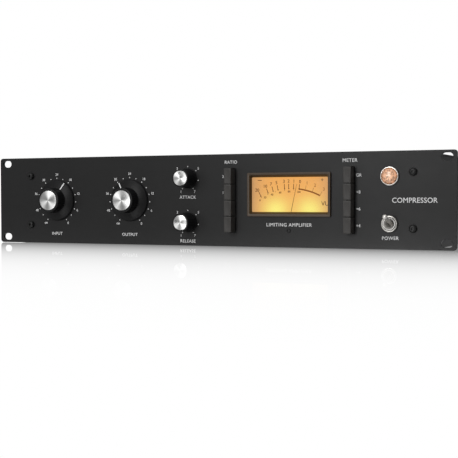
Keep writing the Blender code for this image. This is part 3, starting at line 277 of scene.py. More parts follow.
def turned(name: str, profile: Profile, segments: int) -> Piece:
    """A body turned on a lathe about the Y axis.

    Args:
        name: The piece's name.
        profile: (radius, depth) points, from the front inwards or round a ring's section. One that
            starts and ends on the axis makes a solid, and any other one closes on itself.
        segments: Steps round the axis.

    Returns:
        The new piece, on the origin.
    """
    points = list(profile)
    if points[0][0] > 0.0:
        points.append(points[0])
    bpy.ops.mesh.primitive_plane_add(size=MM)
    piece = bpy.context.object
    piece.name = piece.data.name = name
    with editing(piece, "points"):
        bpy.ops.mesh.merge(type="CENTER")
        bpy.ops.transform.translate(value=(points[0][0], points[0][1], 0.0))
        for (radius, depth), (next_radius, next_depth) in zip(points, points[1:]):
            step = (next_radius - radius, next_depth - depth, 0.0)
            bpy.ops.mesh.extrude_vertices_move(TRANSFORM_OT_translate={"value": step})
        bpy.ops.mesh.select_all(action="SELECT")
        bpy.ops.mesh.spin(steps=segments, angle=2 * pi, center=(0.0, 0.0, 0.0), axis=(0.0, 1.0, 0.0))
    return tidy_mesh(piece)


def prism(name: str, sides: int, radius: float, front: float, back: float) -> Piece:
    """A regular prism along Y, such as a hexagon nut's blank, between two depths."""
    return turned(name, [(0.0, front), (radius, front), (radius, back), (0.0, back)], sides)


def join(name: str, pieces: Sequence[Piece]) -> Piece:
    """Make one piece of several, as a group of separate bodies."""
    activate(*pieces)
    if len(pieces) > 1:
        bpy.ops.object.join()
    joined = bpy.context.object
    joined.name = joined.data.name = name
    return joined


def copy_of(piece: Piece, name: str, shift: Sequence[float] = (0.0, 0.0, 0.0)) -> Piece:
    """A copy of a finished piece with its own mesh, moved by shift.

    Args:
        piece: The piece to copy.
        name: The copy's name.
        shift: How far the copy is moved.

    Returns:
        The copy.
    """
    made = piece.copy()
    made.data = piece.data.copy()
    made.name = made.data.name = name
    bpy.context.scene.collection.objects.link(made)
    made.data.transform(Matrix.Translation(Vector(shift)))
    return made


def apply_modifier(piece: Piece, kind: str, **settings: object) -> Piece:
    """Add a modifier to a piece, set it and apply it.

    Args:
        piece: The piece.
        kind: The modifier's type.
        settings: The modifier's values.

    Returns:
        The same piece.
    """
    activate(piece)
    modifier = piece.modifiers.new(kind.lower(), kind)
    for setting, value in settings.items():
        setattr(modifier, setting, value)
    bpy.ops.object.modifier_apply(modifier=modifier.name)
    return piece


def carve(piece: Piece, cutters: Sequence[Piece], operation: str = "DIFFERENCE") -> Piece:
    """Cut bodies that don't touch each other from a piece, or add them to it."""
    tool = join(f"{piece.name}_tool", cutters)
    apply_modifier(piece, "BOOLEAN", operation=operation, solver="EXACT", object=tool)
    discard(tool)
    return piece


def soften(piece: Piece, width: float, segments: int = 2, angle: float = 35.0) -> Piece:
    """Round a piece's edges by width, apart from those that turn less than angle degrees."""
    return apply_modifier(
        piece, "BEVEL", width=width, segments=segments, limit_method="ANGLE", angle_limit=radians(angle),
        miter_outer="MITER_ARC",
    )


def shade(piece: Piece, angle: float = 32.0) -> Piece:
    """Shade a piece smooth, apart from edges that turn more than angle degrees."""
    activate(piece)
    bpy.ops.object.shade_smooth_by_angle(angle=radians(angle))
    return piece


# ---- shader nodes --------------------------------------------------------------------------
def feed(node: Node, inputs: dict) -> Node:
    """Set or join a node's inputs.

    Args:
        node: The node.
        inputs: Values or output sockets for its inputs, by name or number.

    Returns:
        The same node.
    """
    for key, value in inputs.items():
        if isinstance(value, Socket):
            node.id_data.links.new(value, node.inputs[key])
        else:
            node.inputs[key].default_value = value
    return node


def add_node(tree: NodeTree, kind: str, inputs: dict | None = None, **settings: object) -> Node:
    """Add a node, set its values and join its inputs.

    Args:
        tree: The material's or group's tree.
        kind: The node's type, without "ShaderNode".
        inputs: Values or output sockets for the inputs, by name or number.
        settings: The node's own settings.

    Returns:
        The new node.
    """
    node = tree.nodes.new(f"ShaderNode{kind}")
    for setting, value in settings.items():
        setattr(node, setting, value)
    return feed(node, inputs or {})


def maths(tree: NodeTree, operation: str, *values: float | Socket, clamp: bool = False) -> Socket:
    """The result of a Math node on numbers or sockets."""
    inputs = dict(enumerate(values))
    return add_node(tree, "Math", inputs, operation=operation, use_clamp=clamp).outputs[0]


def mix_colours(
    tree: NodeTree, factor: float | Socket, first: Colour | Socket, second: Colour | Socket
) -> Socket:
    """The result of mixing two colours, where factor is how much of the second shows."""
    first, second = ((*value, 1.0) if isinstance(value, tuple) else value for value in (first, second))
    return add_node(tree, "Mix", {0: factor, 6: first, 7: second}, data_type="RGBA").outputs[2]


class Effect(Enum):
    """The surface effects that several finishes share, each one node group."""

    GRAIN = "fine_grain"
    WEAR = "edge_wear"
    DUST = "settled_dust"
    TURNING = "turning_marks"
    HANDLING = "handling_marks"


SOCKETS = {  # effect: (inputs, outputs) as (name, type)
    Effect.GRAIN: (
        [("Vector", "Vector"), ("Scale", "Float"), ("Base", "Float"), ("Spread", "Float")],
        [("Height", "Float"), ("Roughness", "Float"), ("Shade", "Float")],
    ),
    Effect.WEAR: ([("Vector", "Vector"), ("Amount", "Float")], [("Mask", "Float")]),
    Effect.DUST: ([("Vector", "Vector"), ("Amount", "Float")], [("Mask", "Float")]),
    Effect.TURNING: ([("Vector", "Vector"), ("Pitch", "Float")], [("Height", "Float"), ("Sheen", "Float")]),
    Effect.HANDLING: ([("Vector", "Vector"), ("Amount", "Float")], [("Mask", "Float")]),
}


def fill_grain(tree: NodeTree, given: Sequence[Socket]) -> tuple[Socket, ...]:
    """Moulded or sprayed grain: fine bumps, uneven gloss and faint cloudy tone."""
    vector, scale, base, spread = given
    fine = add_node(tree, "TexNoise", {"Vector": vector, "Scale": scale, "Detail": 3.0})
    broad_scale = maths(tree, "MULTIPLY", scale, 0.03)
    broad = add_node(tree, "TexNoise", {"Vector": vector, "Scale": broad_scale, "Detail": 2.0})
    both = maths(tree, "ADD", fine.outputs[0], broad.outputs[0])
    offset = maths(tree, "SUBTRACT", both, 1.0)
    roughness = maths(tree, "MULTIPLY_ADD", offset, spread, base, clamp=True)
    return fine.outputs[0], roughness, broad.outputs[0]


def fill_wear(tree: NodeTree, given: Sequence[Socket]) -> tuple[Socket, ...]:
    """Paint or colour rubbed thin where edges stick out."""
    vector, amount = given
    geometry = add_node(tree, "NewGeometry")
    sharp = add_node(tree, "MapRange", {0: geometry.outputs["Pointiness"], 1: 0.52, 2: 0.62})
    patches = add_node(tree, "TexNoise", {"Vector": vector, "Scale": 350.0, "Detail": 4.0})
    worn = maths(tree, "MULTIPLY", sharp.outputs[0], patches.outputs[0])
    return (maths(tree, "MULTIPLY", worn, amount, clamp=True),)


def fill_dust(tree: NodeTree, given: Sequence[Socket]) -> tuple[Socket, ...]:
    """Dust that lies on what faces up."""
    vector, amount = given
    geometry = add_node(tree, "NewGeometry")
    facing = add_node(tree, "SeparateXYZ", {0: geometry.outputs["Normal"]})
    level = maths(tree, "MAXIMUM", facing.outputs[2], 0.0)
    specks = add_node(tree, "TexNoise", {"Vector": vector, "Scale": 420.0, "Detail": 6.0})
    lying = maths(tree, "MULTIPLY", maths(tree, "POWER", level, 3.0), specks.outputs[0])
    return (maths(tree, "MULTIPLY", lying, amount, clamp=True),)


def fill_turning(tree: NodeTree, given: Sequence[Socket]) -> tuple[Socket, ...]:
    """Rings left by a lathe tool about the piece's axis, and a painted sheen that brightens and darkens the
    colour round it.
    """
    vector, pitch = given
    parts = add_node(tree, "SeparateXYZ", {0: vector})
    x, z = parts.outputs[0], parts.outputs[2]
    squares = maths(tree, "ADD", maths(tree, "MULTIPLY", x, x), maths(tree, "MULTIPLY", z, z))
    rings = maths(tree, "DIVIDE", maths(tree, "SQRT", squares), pitch)
    wave = maths(tree, "SINE", maths(tree, "MULTIPLY", rings, 2 * pi))
    uneven = add_node(tree, "TexNoise", {"W": rings, "Scale": 0.35, "Detail": 3.0}, noise_dimensions="1D")
    height = maths(tree, "MULTIPLY_ADD", wave, 0.5, uneven.outputs[0])
    # Painted sheen: a noise round the axis that stands in for the metal's changing reflections.
    angle = maths(tree, "ARCTAN2", z, x)
    sheen = add_node(tree, "TexNoise", {"W": angle, "Scale": 1.6, "Detail": 2.0}, noise_dimensions="1D")
    return height, sheen.outputs[0]


def fill_handling(tree: NodeTree, given: Sequence[Socket]) -> tuple[Socket, ...]:
    """Faint smears left by hands and cloths."""
    vector, amount = given
    stretched = add_node(tree, "Mapping", {"Vector": vector, "Scale": (0.5, 1.0, 1.6)})
    smears = add_node(
        tree, "TexNoise", {"Vector": stretched.outputs[0], "Scale": 38.0, "Detail": 5.0, "Distortion": 0.6}
    )
    strong = add_node(tree, "MapRange", {0: smears.outputs[0], 1: 0.45, 2: 0.75})
    return (maths(tree, "MULTIPLY", strong.outputs[0], amount, clamp=True),)


FILLERS = {  # each takes a group's tree and its inputs, and gives its outputs
    Effect.GRAIN: fill_grain,
    Effect.WEAR: fill_wear,
    Effect.DUST: fill_dust,
    Effect.TURNING: fill_turning,
    Effect.HANDLING: fill_handling,
}


def effect_group(effect: Effect) -> NodeTree:
    """The node group of an effect, made the first time that it is asked for.

    Args:
        effect: Which effect.

    Returns:
        The group's tree.
    """
    made = bpy.data.node_groups.get(effect.value)
    if made:
        return made
    made = bpy.data.node_groups.new(effect.value, "ShaderNodeTree")
    inputs, outputs = SOCKETS[effect]
    for sockets, side in ((inputs, "INPUT"), (outputs, "OUTPUT")):
        for name, kind in sockets:
            made.interface.new_socket(name, in_out=side, socket_type=f"NodeSocket{kind}")
    start = made.nodes.new("NodeGroupInput")
    end = made.nodes.new("NodeGroupOutput")
    given = [start.outputs[name] for name, _ in inputs]
    feed(end, dict(enumerate(FILLERS[effect](made, given))))
    return made


def place_effect(tree: NodeTree, effect: Effect, inputs: dict) -> Node:
    """Put an effect's group into a material, with its own values."""
    return add_node(tree, "Group", inputs, node_tree=effect_group(effect))


# ---- finishes ------------------------------------------------------------------------------
@dataclass(frozen=True)
class Finish:
    """A finish that every material builds on: colour, gloss, grain, wear and dust."""

    name: str
    colour: Colour
    roughness: float
    metallic: float = 0.0
    specular: float = 0.5
    coat: float = 0.0
    grain_scale: float = 2500.0  # per metre
    grain_depth: float = 0.01 * MM
    spread: float = 0.10  # how uneven the gloss is
    cloud: float = 0.10  # how uneven the tone is
    wear: float = 0.0
    worn_colour: Colour = (0.25, 0.25, 0.25)
    dust: float = 0.0
    handling: float = 0.0

    def material(self, centre: Sequence[float] = (0.0, 0.0, 0.0)) -> Material:
        """The finish as a material, with its patterns about a centre.

        Args:
            centre: The point that rings, painted sheen and painted highlight wedges run about.

        Returns:
            The material, which pieces with the same centre share.
        """
        name = f"finish_{self.name}"
        if any(centre):
            name += f"_{round(centre[0] / MM)}_{round(centre[2] / MM)}"
        made = bpy.data.materials.get(name)
        if made:
            return made
        made = bpy.data.materials.new(name)
        made.use_nodes = True
        tree = made.node_tree
        shader = tree.nodes["Principled BSDF"]
        gloss = {"Specular IOR Level": self.specular, "Coat Weight": self.coat}
        feed(shader, {"Metallic": self.metallic, **gloss})
        coordinates = add_node(tree, "TexCoord").outputs["Object"]
        shift = tuple(-value for value in centre)
        centred = add_node(tree, "Mapping", {"Vector": coordinates, "Location": shift})
        self.dress(tree, shader, centred.outputs[0])
        return made

    def dress(self, tree: NodeTree, shader: Node, vector: Socket) -> None:
        """Join the finish's effects to its shader.

        Args:
            tree: The material's tree.
            shader: Its Principled BSDF.
            vector: Object coordinates about the finish's centre.
        """
        grain = self.grain(tree, vector)
        colour = self.tone(tree, vector, grain.outputs["Shade"])
        feed(shader, {"Roughness": grain.outputs["Roughness"], "Base Color": colour})
        self.bump(tree, shader, grain.outputs["Height"], self.grain_depth)

    def grain(self, tree: NodeTree, vector: Socket) -> Node:
        """The finish's grain."""
        gloss = {"Base": self.roughness, "Spread": self.spread}
        return place_effect(tree, Effect.GRAIN, {"Vector": vector, "Scale": self.grain_scale, **gloss})

    def tone(self, tree: NodeTree, vector: Socket, shade_mask: Socket) -> Socket:
        """The finish's colour, with its clouding, worn edges, handling marks and dust.

        Args:
            tree: The material's tree.
            vector: Object coordinates.
            shade_mask: A cloudy mask from 0 to 1.

        Returns:
            The colour's socket.
        """
        light = tuple(min(1.0, value * (1 + self.cloud)) for value in self.colour)
        dark = tuple(value * (1 - self.cloud) for value in self.colour)
        colour = mix_colours(tree, shade_mask, dark, light)
        if self.wear:
            worn = place_effect(tree, Effect.WEAR, {"Vector": vector, "Amount": self.wear})
            colour = mix_colours(tree, worn.outputs[0], colour, self.worn_colour)
        if self.handling:
            marks = place_effect(tree, Effect.HANDLING, {"Vector": vector, "Amount": self.handling})
            lifted = tuple(min(1.0, value * 1.5 + 0.004) for value in self.colour)
            colour = mix_colours(tree, marks.outputs[0], colour, lifted)
        if self.dust:
            dust = place_effect(tree, Effect.DUST, {"Vector": vector, "Amount": self.dust})
            colour = mix_colours(tree, dust.outputs[0], colour, (0.32, 0.31, 0.29))
        return colour

    def bump(self, tree: NodeTree, shader: Node, height: Socket, depth: float) -> None:
        """Join a height to the shader's normal."""
        bump = add_node(tree, "Bump", {"Strength": 1.0, "Distance": depth, "Height": height})
        feed(shader, {"Normal": bump.outputs[0]})


@dataclass(frozen=True)
class SpunMetal(Finish):
    """Bare metal faced on a lathe, whose rings stretch each highlight into a wedge; the wedges and a sheen
    round the axis are also painted into its colour.
    """

    metallic: float = 1.0
    pitch: float = 0.35 * MM
    ring_depth: float = 0.0015 * MM
    stretch: float = 0.0
    sheen: float = 0.35  # how much the painted sheen varies the colour's brightness round the axis
    wedges: tuple[float, ...] = ()  # angles of the painted highlight wedges, in degrees clockwise from straight up
    wedge_shade: float = 0.24  # the painted shade between them, as a share of the colour
    wedge_power: float = 7.0

    def dress(self, tree: NodeTree, shader: Node, vector: Socket) -> None:
        """Join the rings, the painted sheen and highlight wedges in the colour, and the tangent that the
        highlight is stretched along.
        """
        rings = place_effect(tree, Effect.TURNING, {"Vector": vector, "Pitch": self.pitch})
        grain = self.grain(tree, vector)
        # Painted sheen: the colour darkens and brightens round the axis.
        sheen_shade = tuple(value * (1 - self.sheen) for value in self.colour)
        painted_sheen = add_node(tree, "MapRange", {0: rings.outputs["Sheen"], 1: 0.32, 2: 0.68})
        colour = mix_colours(tree, painted_sheen.outputs[0], sheen_shade, self.colour)
        # Painted highlight wedges, with painted shade between them.
        if self.wedges:
            shaded = tuple(value * self.wedge_shade for value in self.colour)
            colour = mix_colours(tree, self.wedge_mask(tree, vector), shaded, colour)
        feed(shader, {"Roughness": grain.outputs["Roughness"], "Base Color": colour})
        self.bump(tree, shader, rings.outputs["Height"], self.ring_depth)
        if self.stretch:
            tangent = add_node(tree, "Tangent", direction_type="RADIAL", axis="Y")
            feed(shader, {"Anisotropic": self.stretch, "Tangent": tangent.outputs[0]})

    def wedge_mask(self, tree: NodeTree, vector: Socket) -> Socket:
        """How near each point lies to the middle of a painted highlight wedge, from 0 to 1."""
        parts = add_node(tree, "SeparateXYZ", {0: vector})
        angle = maths(tree, "ARCTAN2", parts.outputs[0], parts.outputs[2])
        total: float | Socket = 0.0
        for wedge in self.wedges:
            near = maths(tree, "COSINE", maths(tree, "SUBTRACT", angle, radians(wedge)))
            lobe = maths(tree, "POWER", maths(tree, "MAXIMUM", near, 0.0), self.wedge_power)
            total = maths(tree, "ADD", total, lobe, clamp=True)
        return total


@dataclass(frozen=True)
class LitCard(Finish):
    """A printed card lit from below by two small lamps behind a mask, their light painted on the card as
    emission.
    """

    lamps: tuple[tuple[float, float], ...] = ()  # where the painted glows centre, X and Z about the finish's centre
    edge_colour: Colour = (0.58, 0.32, 0.14)
    top_colour: Colour = (0.88, 0.42, 0.11)
    glow_colour: Colour = (1.0, 0.88, 0.22)
    glow_width: float = 13 * MM
    glow_height: float = 12 * MM
    half_width: float = 39 * MM
    brightness: float = 1.0

    def dress(self, tree: NodeTree, shader: Node, vector: Socket) -> None:
        """Join the card's paper, and paint the light that spreads over it as emission."""
        super().dress(tree, shader, vector)
        parts = add_node(tree, "SeparateXYZ", {0: vector})
        x, z = parts.outputs[0], parts.outputs[2]
        # Painted shade: the emission dims towards the card's sides.
        across = maths(tree, "DIVIDE", maths(tree, "ABSOLUTE", x), self.half_width)
        edge = maths(tree, "POWER", across, 4.0, clamp=True)
        colour = mix_colours(tree, edge, self.top_colour, self.edge_colour)
        # A painted pool of light round each lamp.
        for lamp_x, lamp_z in self.lamps:
            near_x = maths(tree, "DIVIDE", maths(tree, "SUBTRACT", x, lamp_x), self.glow_width)
            near_z = maths(tree, "DIVIDE", maths(tree, "SUBTRACT", z, lamp_z), self.glow_height)
            squares = [maths(tree, "MULTIPLY", near, near) for near in (near_x, near_z)]
            falling = maths(tree, "MULTIPLY", maths(tree, "ADD", *squares), -1.0)
            colour = mix_colours(tree, maths(tree, "EXPONENT", falling), colour, self.glow_colour)
        feed(shader, {"Emission Color": colour, "Emission Strength": self.brightness})


@dataclass(frozen=True)
class LitJewel(Finish):
    """A moulded, faceted lens with a lamp behind it, each facet painted with a glint of its own in the
    emission, some near black.
    """

    glow: Colour = (0.58, 0.28, 0.15)
    core: Colour = (0.98, 0.66, 0.44)
    brightness: float = 0.9
    core_radius: float = 6 * MM
    likeness: float = 0.01  # normals closer than this belong to one facet

    def dress(self, tree: NodeTree, shader: Node, vector: Socket) -> None:
        """Join the facets' painted glints and shade, and the brighter middle."""
        super().dress(tree, shader, vector)
        normal = add_node(tree, "NewGeometry").outputs["True Normal"]
        alike = (self.likeness,) * 3
        one = add_node(tree, "VectorMath", {0: normal, 1: alike}, operation="SNAP").outputs[0]
        # Painted glints: each facet's emission is a random share of the lamp's colour, the dim facets
        # painted shade.
        facet_glint = add_node(tree, "TexWhiteNoise", {"Vector": one}, noise_dimensions="3D")
        facet = maths(tree, "MULTIPLY_ADD", facet_glint.outputs["Value"], 1.05, 0.08)
        distance = add_node(tree, "VectorMath", {0: vector}, operation="LENGTH").outputs["Value"]
        middle = add_node(tree, "MapRange", {0: distance, 1: 0.0, 2: self.core_radius, 3: 1.0, 4: 0.0})
        colour = mix_colours(tree, middle.outputs[0], self.glow, self.core)
        shadow = mix_colours(tree, facet, (0.0, 0.0, 0.0), colour)
        feed(shader, {"IOR": 1.5, "Emission Color": shadow, "Emission Strength": self.brightness})


@dataclass(frozen=True)
class ClearPane(Finish):
    """A clear moulded window, seen mostly by what it reflects."""

    opacity: float = 0.04

    def dress(self, tree: NodeTree, shader: Node, vector: Socket) -> None:
        """Join faint smears to the pane's gloss, and make it clear."""
        super().dress(tree, shader, vector)
        marks = place_effect(tree, Effect.HANDLING, {"Vector": vector, "Amount": self.opacity / 2})
        feed(shader, {"Alpha": maths(tree, "ADD", marks.outputs[0], self.opacity)})


@dataclass(frozen=True)
class Laminate(Finish):
    """A circuit board under solder mask, with copper runs showing through."""

    def dress(self, tree: NodeTree, shader: Node, vector: Socket) -> None:
        """Join the runs of copper under the mask."""
        super().dress(tree, shader, vector)
        runs = add_node(
            tree, "TexBrick", {"Vector": vector, "Scale": 160.0, "Mortar Size": 0.09, "Bias": 0.0},
            offset=0.5, squash=1.6,
        )
        copper = tuple(min(1.0, value * 2.2 + 0.01) for value in self.colour)
        base = shader.inputs["Base Color"].links[0].from_socket
        feed(shader, {"Base Color": mix_colours(tree, runs.outputs["Fac"], base, copper)})


@dataclass(frozen=True)
class Laminations(Finish):
    """A stack of thin steel plates, seen edge on."""

    plate: float = 0.5 * MM

    def dress(self, tree: NodeTree, shader: Node, vector: Socket) -> None:
        """Join the plates' edges as fine ridges."""
        super().dress(tree, shader, vector)
        parts = add_node(tree, "SeparateXYZ", {0: vector})
        ridges = maths(tree, "SINE", maths(tree, "MULTIPLY", parts.outputs[1], 2 * pi / self.plate))
        self.bump(tree, shader, ridges, 0.05 * MM)


PANEL_PAINT = Finish(
    "panel_paint", (0.0072, 0.0072, 0.0073), 0.38, specular=0.20, grain_scale=3200.0,
    grain_depth=0.006 * MM, spread=0.08, wear=0.25, worn_colour=(0.06, 0.06, 0.06), handling=0.10,
)
CHASSIS_PAINT = Finish(
    "chassis_paint", (0.014, 0.014, 0.015), 0.58, specular=0.4, grain_scale=1500.0, grain_depth=0.05 * MM,
    spread=0.15, cloud=0.12, dust=0.10, handling=0.10,
)
BLACK_OXIDE = Finish(
    "black_oxide", (0.008, 0.008, 0.008), 0.38, metallic=0.3, specular=0.3, grain_depth=0.003 * MM,
    wear=0.25, worn_colour=(0.08, 0.08, 0.08),
)
KNOB_PLASTIC = Finish(
    "knob_plastic", (0.0075, 0.0075, 0.0078), 0.40, specular=0.14, grain_scale=4200.0,
    grain_depth=0.006 * MM, wear=0.30, worn_colour=(0.045, 0.045, 0.045), handling=0.08,
)
BUTTON_PLASTIC = Finish(
    "button_plastic", (0.028, 0.026, 0.024), 0.44, specular=0.28, grain_scale=3600.0,
    grain_depth=0.005 * MM, wear=0.25, worn_colour=(0.07, 0.07, 0.065), handling=0.25,
)
BEZEL_PLASTIC = Finish(
    "bezel_plastic", (0.044, 0.026, 0.011), 0.38, specular=0.32, grain_scale=3600.0, grain_depth=0.004 * MM,
    wear=0.20, worn_colour=(0.08, 0.06, 0.05),
)
CASE_PLASTIC = Finish("case_plastic", (0.012, 0.012, 0.012), 0.52, grain_depth=0.02 * MM, dust=0.06)
# Two copies of one spun aluminium that differ only in where their painted highlight wedges lie.
RIGHT_SPUN = SpunMetal(
    "spun_aluminium_right", (0.97, 0.97, 0.96), 0.32, stretch=0.3, spread=0.06, sheen=0.10,
    wedges=(18.0, 138.0, 236.0),
)
LEFT_SPUN = SpunMetal(
    "spun_aluminium_left", (0.97, 0.97, 0.96), 0.32, stretch=0.3, spread=0.06, sheen=0.10,
    wedges=(-45.0, 112.0, 222.0),
)
TURNED_STEEL = SpunMetal("turned_steel", (0.52, 0.52, 0.51), 0.34, sheen=0.1, ring_depth=0.003 * MM)
PRESSED_STEEL = Finish(
    "pressed_steel", (0.50, 0.50, 0.49), 0.40, metallic=1.0, grain_scale=900.0, dust=0.08
)
BRIGHT_NICKEL = SpunMetal(
    "bright_nickel", (0.64, 0.62, 0.59), 0.28, sheen=0.08, ring_depth=0.002 * MM, pitch=0.5 * MM
)
DULL_NICKEL = SpunMetal(
    "dull_nickel", (0.36, 0.35, 0.33), 0.34, sheen=0.12, ring_depth=0.002 * MM, pitch=0.4 * MM
)
LEVER_NICKEL = Finish(
    "lever_nickel", (0.66, 0.64, 0.61), 0.42, metallic=0.8, grain_scale=1800.0, grain_depth=0.004 * MM,
    handling=0.10,
)
BUSHING_NICKEL = Finish(
    "bushing_nickel", (0.58, 0.57, 0.55), 0.50, metallic=0.6, grain_scale=1800.0, grain_depth=0.004 * MM
)
SATIN_NICKEL = Finish(
    "satin_nickel", (0.55, 0.54, 0.52), 0.32, metallic=1.0, grain_scale=1800.0, grain_depth=0.006 * MM,
    handling=0.10,
)
WHITE_INK = Finish("white_ink", (0.62, 0.62, 0.62), 0.55, grain_depth=0.002 * MM, cloud=0.06)
LABEL_INK = Finish("rear_ink", (0.55, 0.55, 0.56), 0.60, grain_depth=0.002 * MM, cloud=0.08)
POINTER_INK = Finish("pointer_ink", (0.80, 0.80, 0.80), 0.50, grain_depth=0.002 * MM, cloud=0.05)
SCALE_INK = Finish("scale_ink", (0.10, 0.030, 0.008), 0.70, specular=0.2, grain_depth=0.001 * MM)
SCALE_RED = Finish("scale_red", (0.32, 0.10, 0.015), 0.70, specular=0.2, grain_depth=0.001 * MM)
NEEDLE_PAINT = Finish("needle_paint", (0.060, 0.020, 0.006), 0.60, specular=0.2, grain_depth=0.001 * MM)
MARK_PAINT = Finish("mark_paint", (0.05, 0.05, 0.05), 0.50, grain_depth=0.001 * MM)
WINDOW_CLEAR = ClearPane(
    "window_clear", (0.05, 0.05, 0.05), 0.08, specular=0.12, grain_depth=0.0, spread=0.02
)
AMBER_JEWEL = LitJewel("amber_jewel", (0.30, 0.17, 0.11), 0.12, spread=0.04, grain_depth=0.0)
BOARD_LAMINATE = Laminate("board_laminate", (0.012, 0.060, 0.030), 0.40, coat=0.3)
CORE_LAMINATIONS = Laminations("core_laminations", (0.08, 0.08, 0.09), 0.45, metallic=0.4, dust=0.1)
COPPER_WINDING = Finish("coil_tape", (0.50, 0.30, 0.07), 0.40, coat=0.2, grain_scale=700.0)
CAPACITOR_SLEEVE = Finish("capacitor_sleeve", (0.012, 0.020, 0.060), 0.30, coat=0.3, grain_depth=0.004 * MM)


@dataclass
class Bench:
    """Where pieces are settled on their bodies once they are modelled."""

    frame: dict
    made: int = 0

    def body(self, node: str) -> str:
        """The body that a frame node rides on."""
        return body_of(self.frame["nodes"][node])[0]

    def pivot(self, node: str) -> Vector:
        """The place of the joint that a frame node's body moves on."""
        body = self.body(node)
        return Vector(next(joint["pos_m"] for joint in self.frame["joints"] if joint["child"] == body))

    def settle(
        self, piece: Piece, finish: Finish, like: str, slot: str | None = None,
        replaces: Sequence[str] = (), centre: Sequence[float] = (0.0, 0.0, 0.0),
    ) -> None:
        """Dress a finished piece and let it ride with its body.

        Args:
            piece: The piece.
            finish: Its finish.
            like: A frame node on the body that it rides on.
            slot: The record's material slot for the piece; not used.
            replaces: The frame nodes that it stands for.
            centre: The point that the finish's rings run about.
        """
        piece.data.materials.clear()
        piece.data.materials.append(finish.material(centre))
        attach(piece, self.body(like))
        if replaces:
            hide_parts(*replaces)
        self.made += 1
        LOG.info("%-28s %6d faces, rides on %s", piece.name, len(piece.data.polygons), self.body(like))

    def stand_for(
        self, node: str, piece: Piece, finish: Finish, slot: str, centre: Sequence[float] = (0.0, 0.0, 0.0)
    ) -> None:
        """Settle a piece in the place of one frame node, with settle's other arguments."""
        self.settle(piece, finish, node, slot, [node], centre)

    def redress(self, node: str, finish: Finish, centre: Sequence[float] = (0.0, 0.0, 0.0)) -> None:
        """Give a frame node that keeps its shape a finish of its own."""
        piece = self.frame["nodes"][node]
        material = finish.material(centre)
        if piece.material_slots:
            piece.material_slots[0].material = material
        else:
            piece.data.materials.append(material)
        LOG.info("%-28s keeps its shape, in %s", node, finish.name)


def middle_of(node: str) -> Vector:
    """The middle of a frame node's box."""
    low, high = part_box(node)
    return (low + high) / 2


def axis_of(node: str) -> Vector:
    """The point at depth 0 on the axis along Y through a frame node's middle."""
    centre = middle_of(node)
    return Vector((centre.x, 0.0, centre.z))


def drill(rounds: Sequence[tuple[str, float]], front: float, back: float, sides: int) -> list[Piece]:
    """Cutters between two depths for round holes, each a node on its axis and its radius."""
    return [place(prism("hole", sides, radius, front, back), axis_of(node)) for node, radius in rounds]


def opening(low: Vector, high: Vector, room: float, front: float, back: float) -> Piece:
    """A cutter between two depths, larger by room than a node's box on every side."""
    return block("opening", (low.x - room, front, low.z - room), (high.x + room, back, high.z + room))


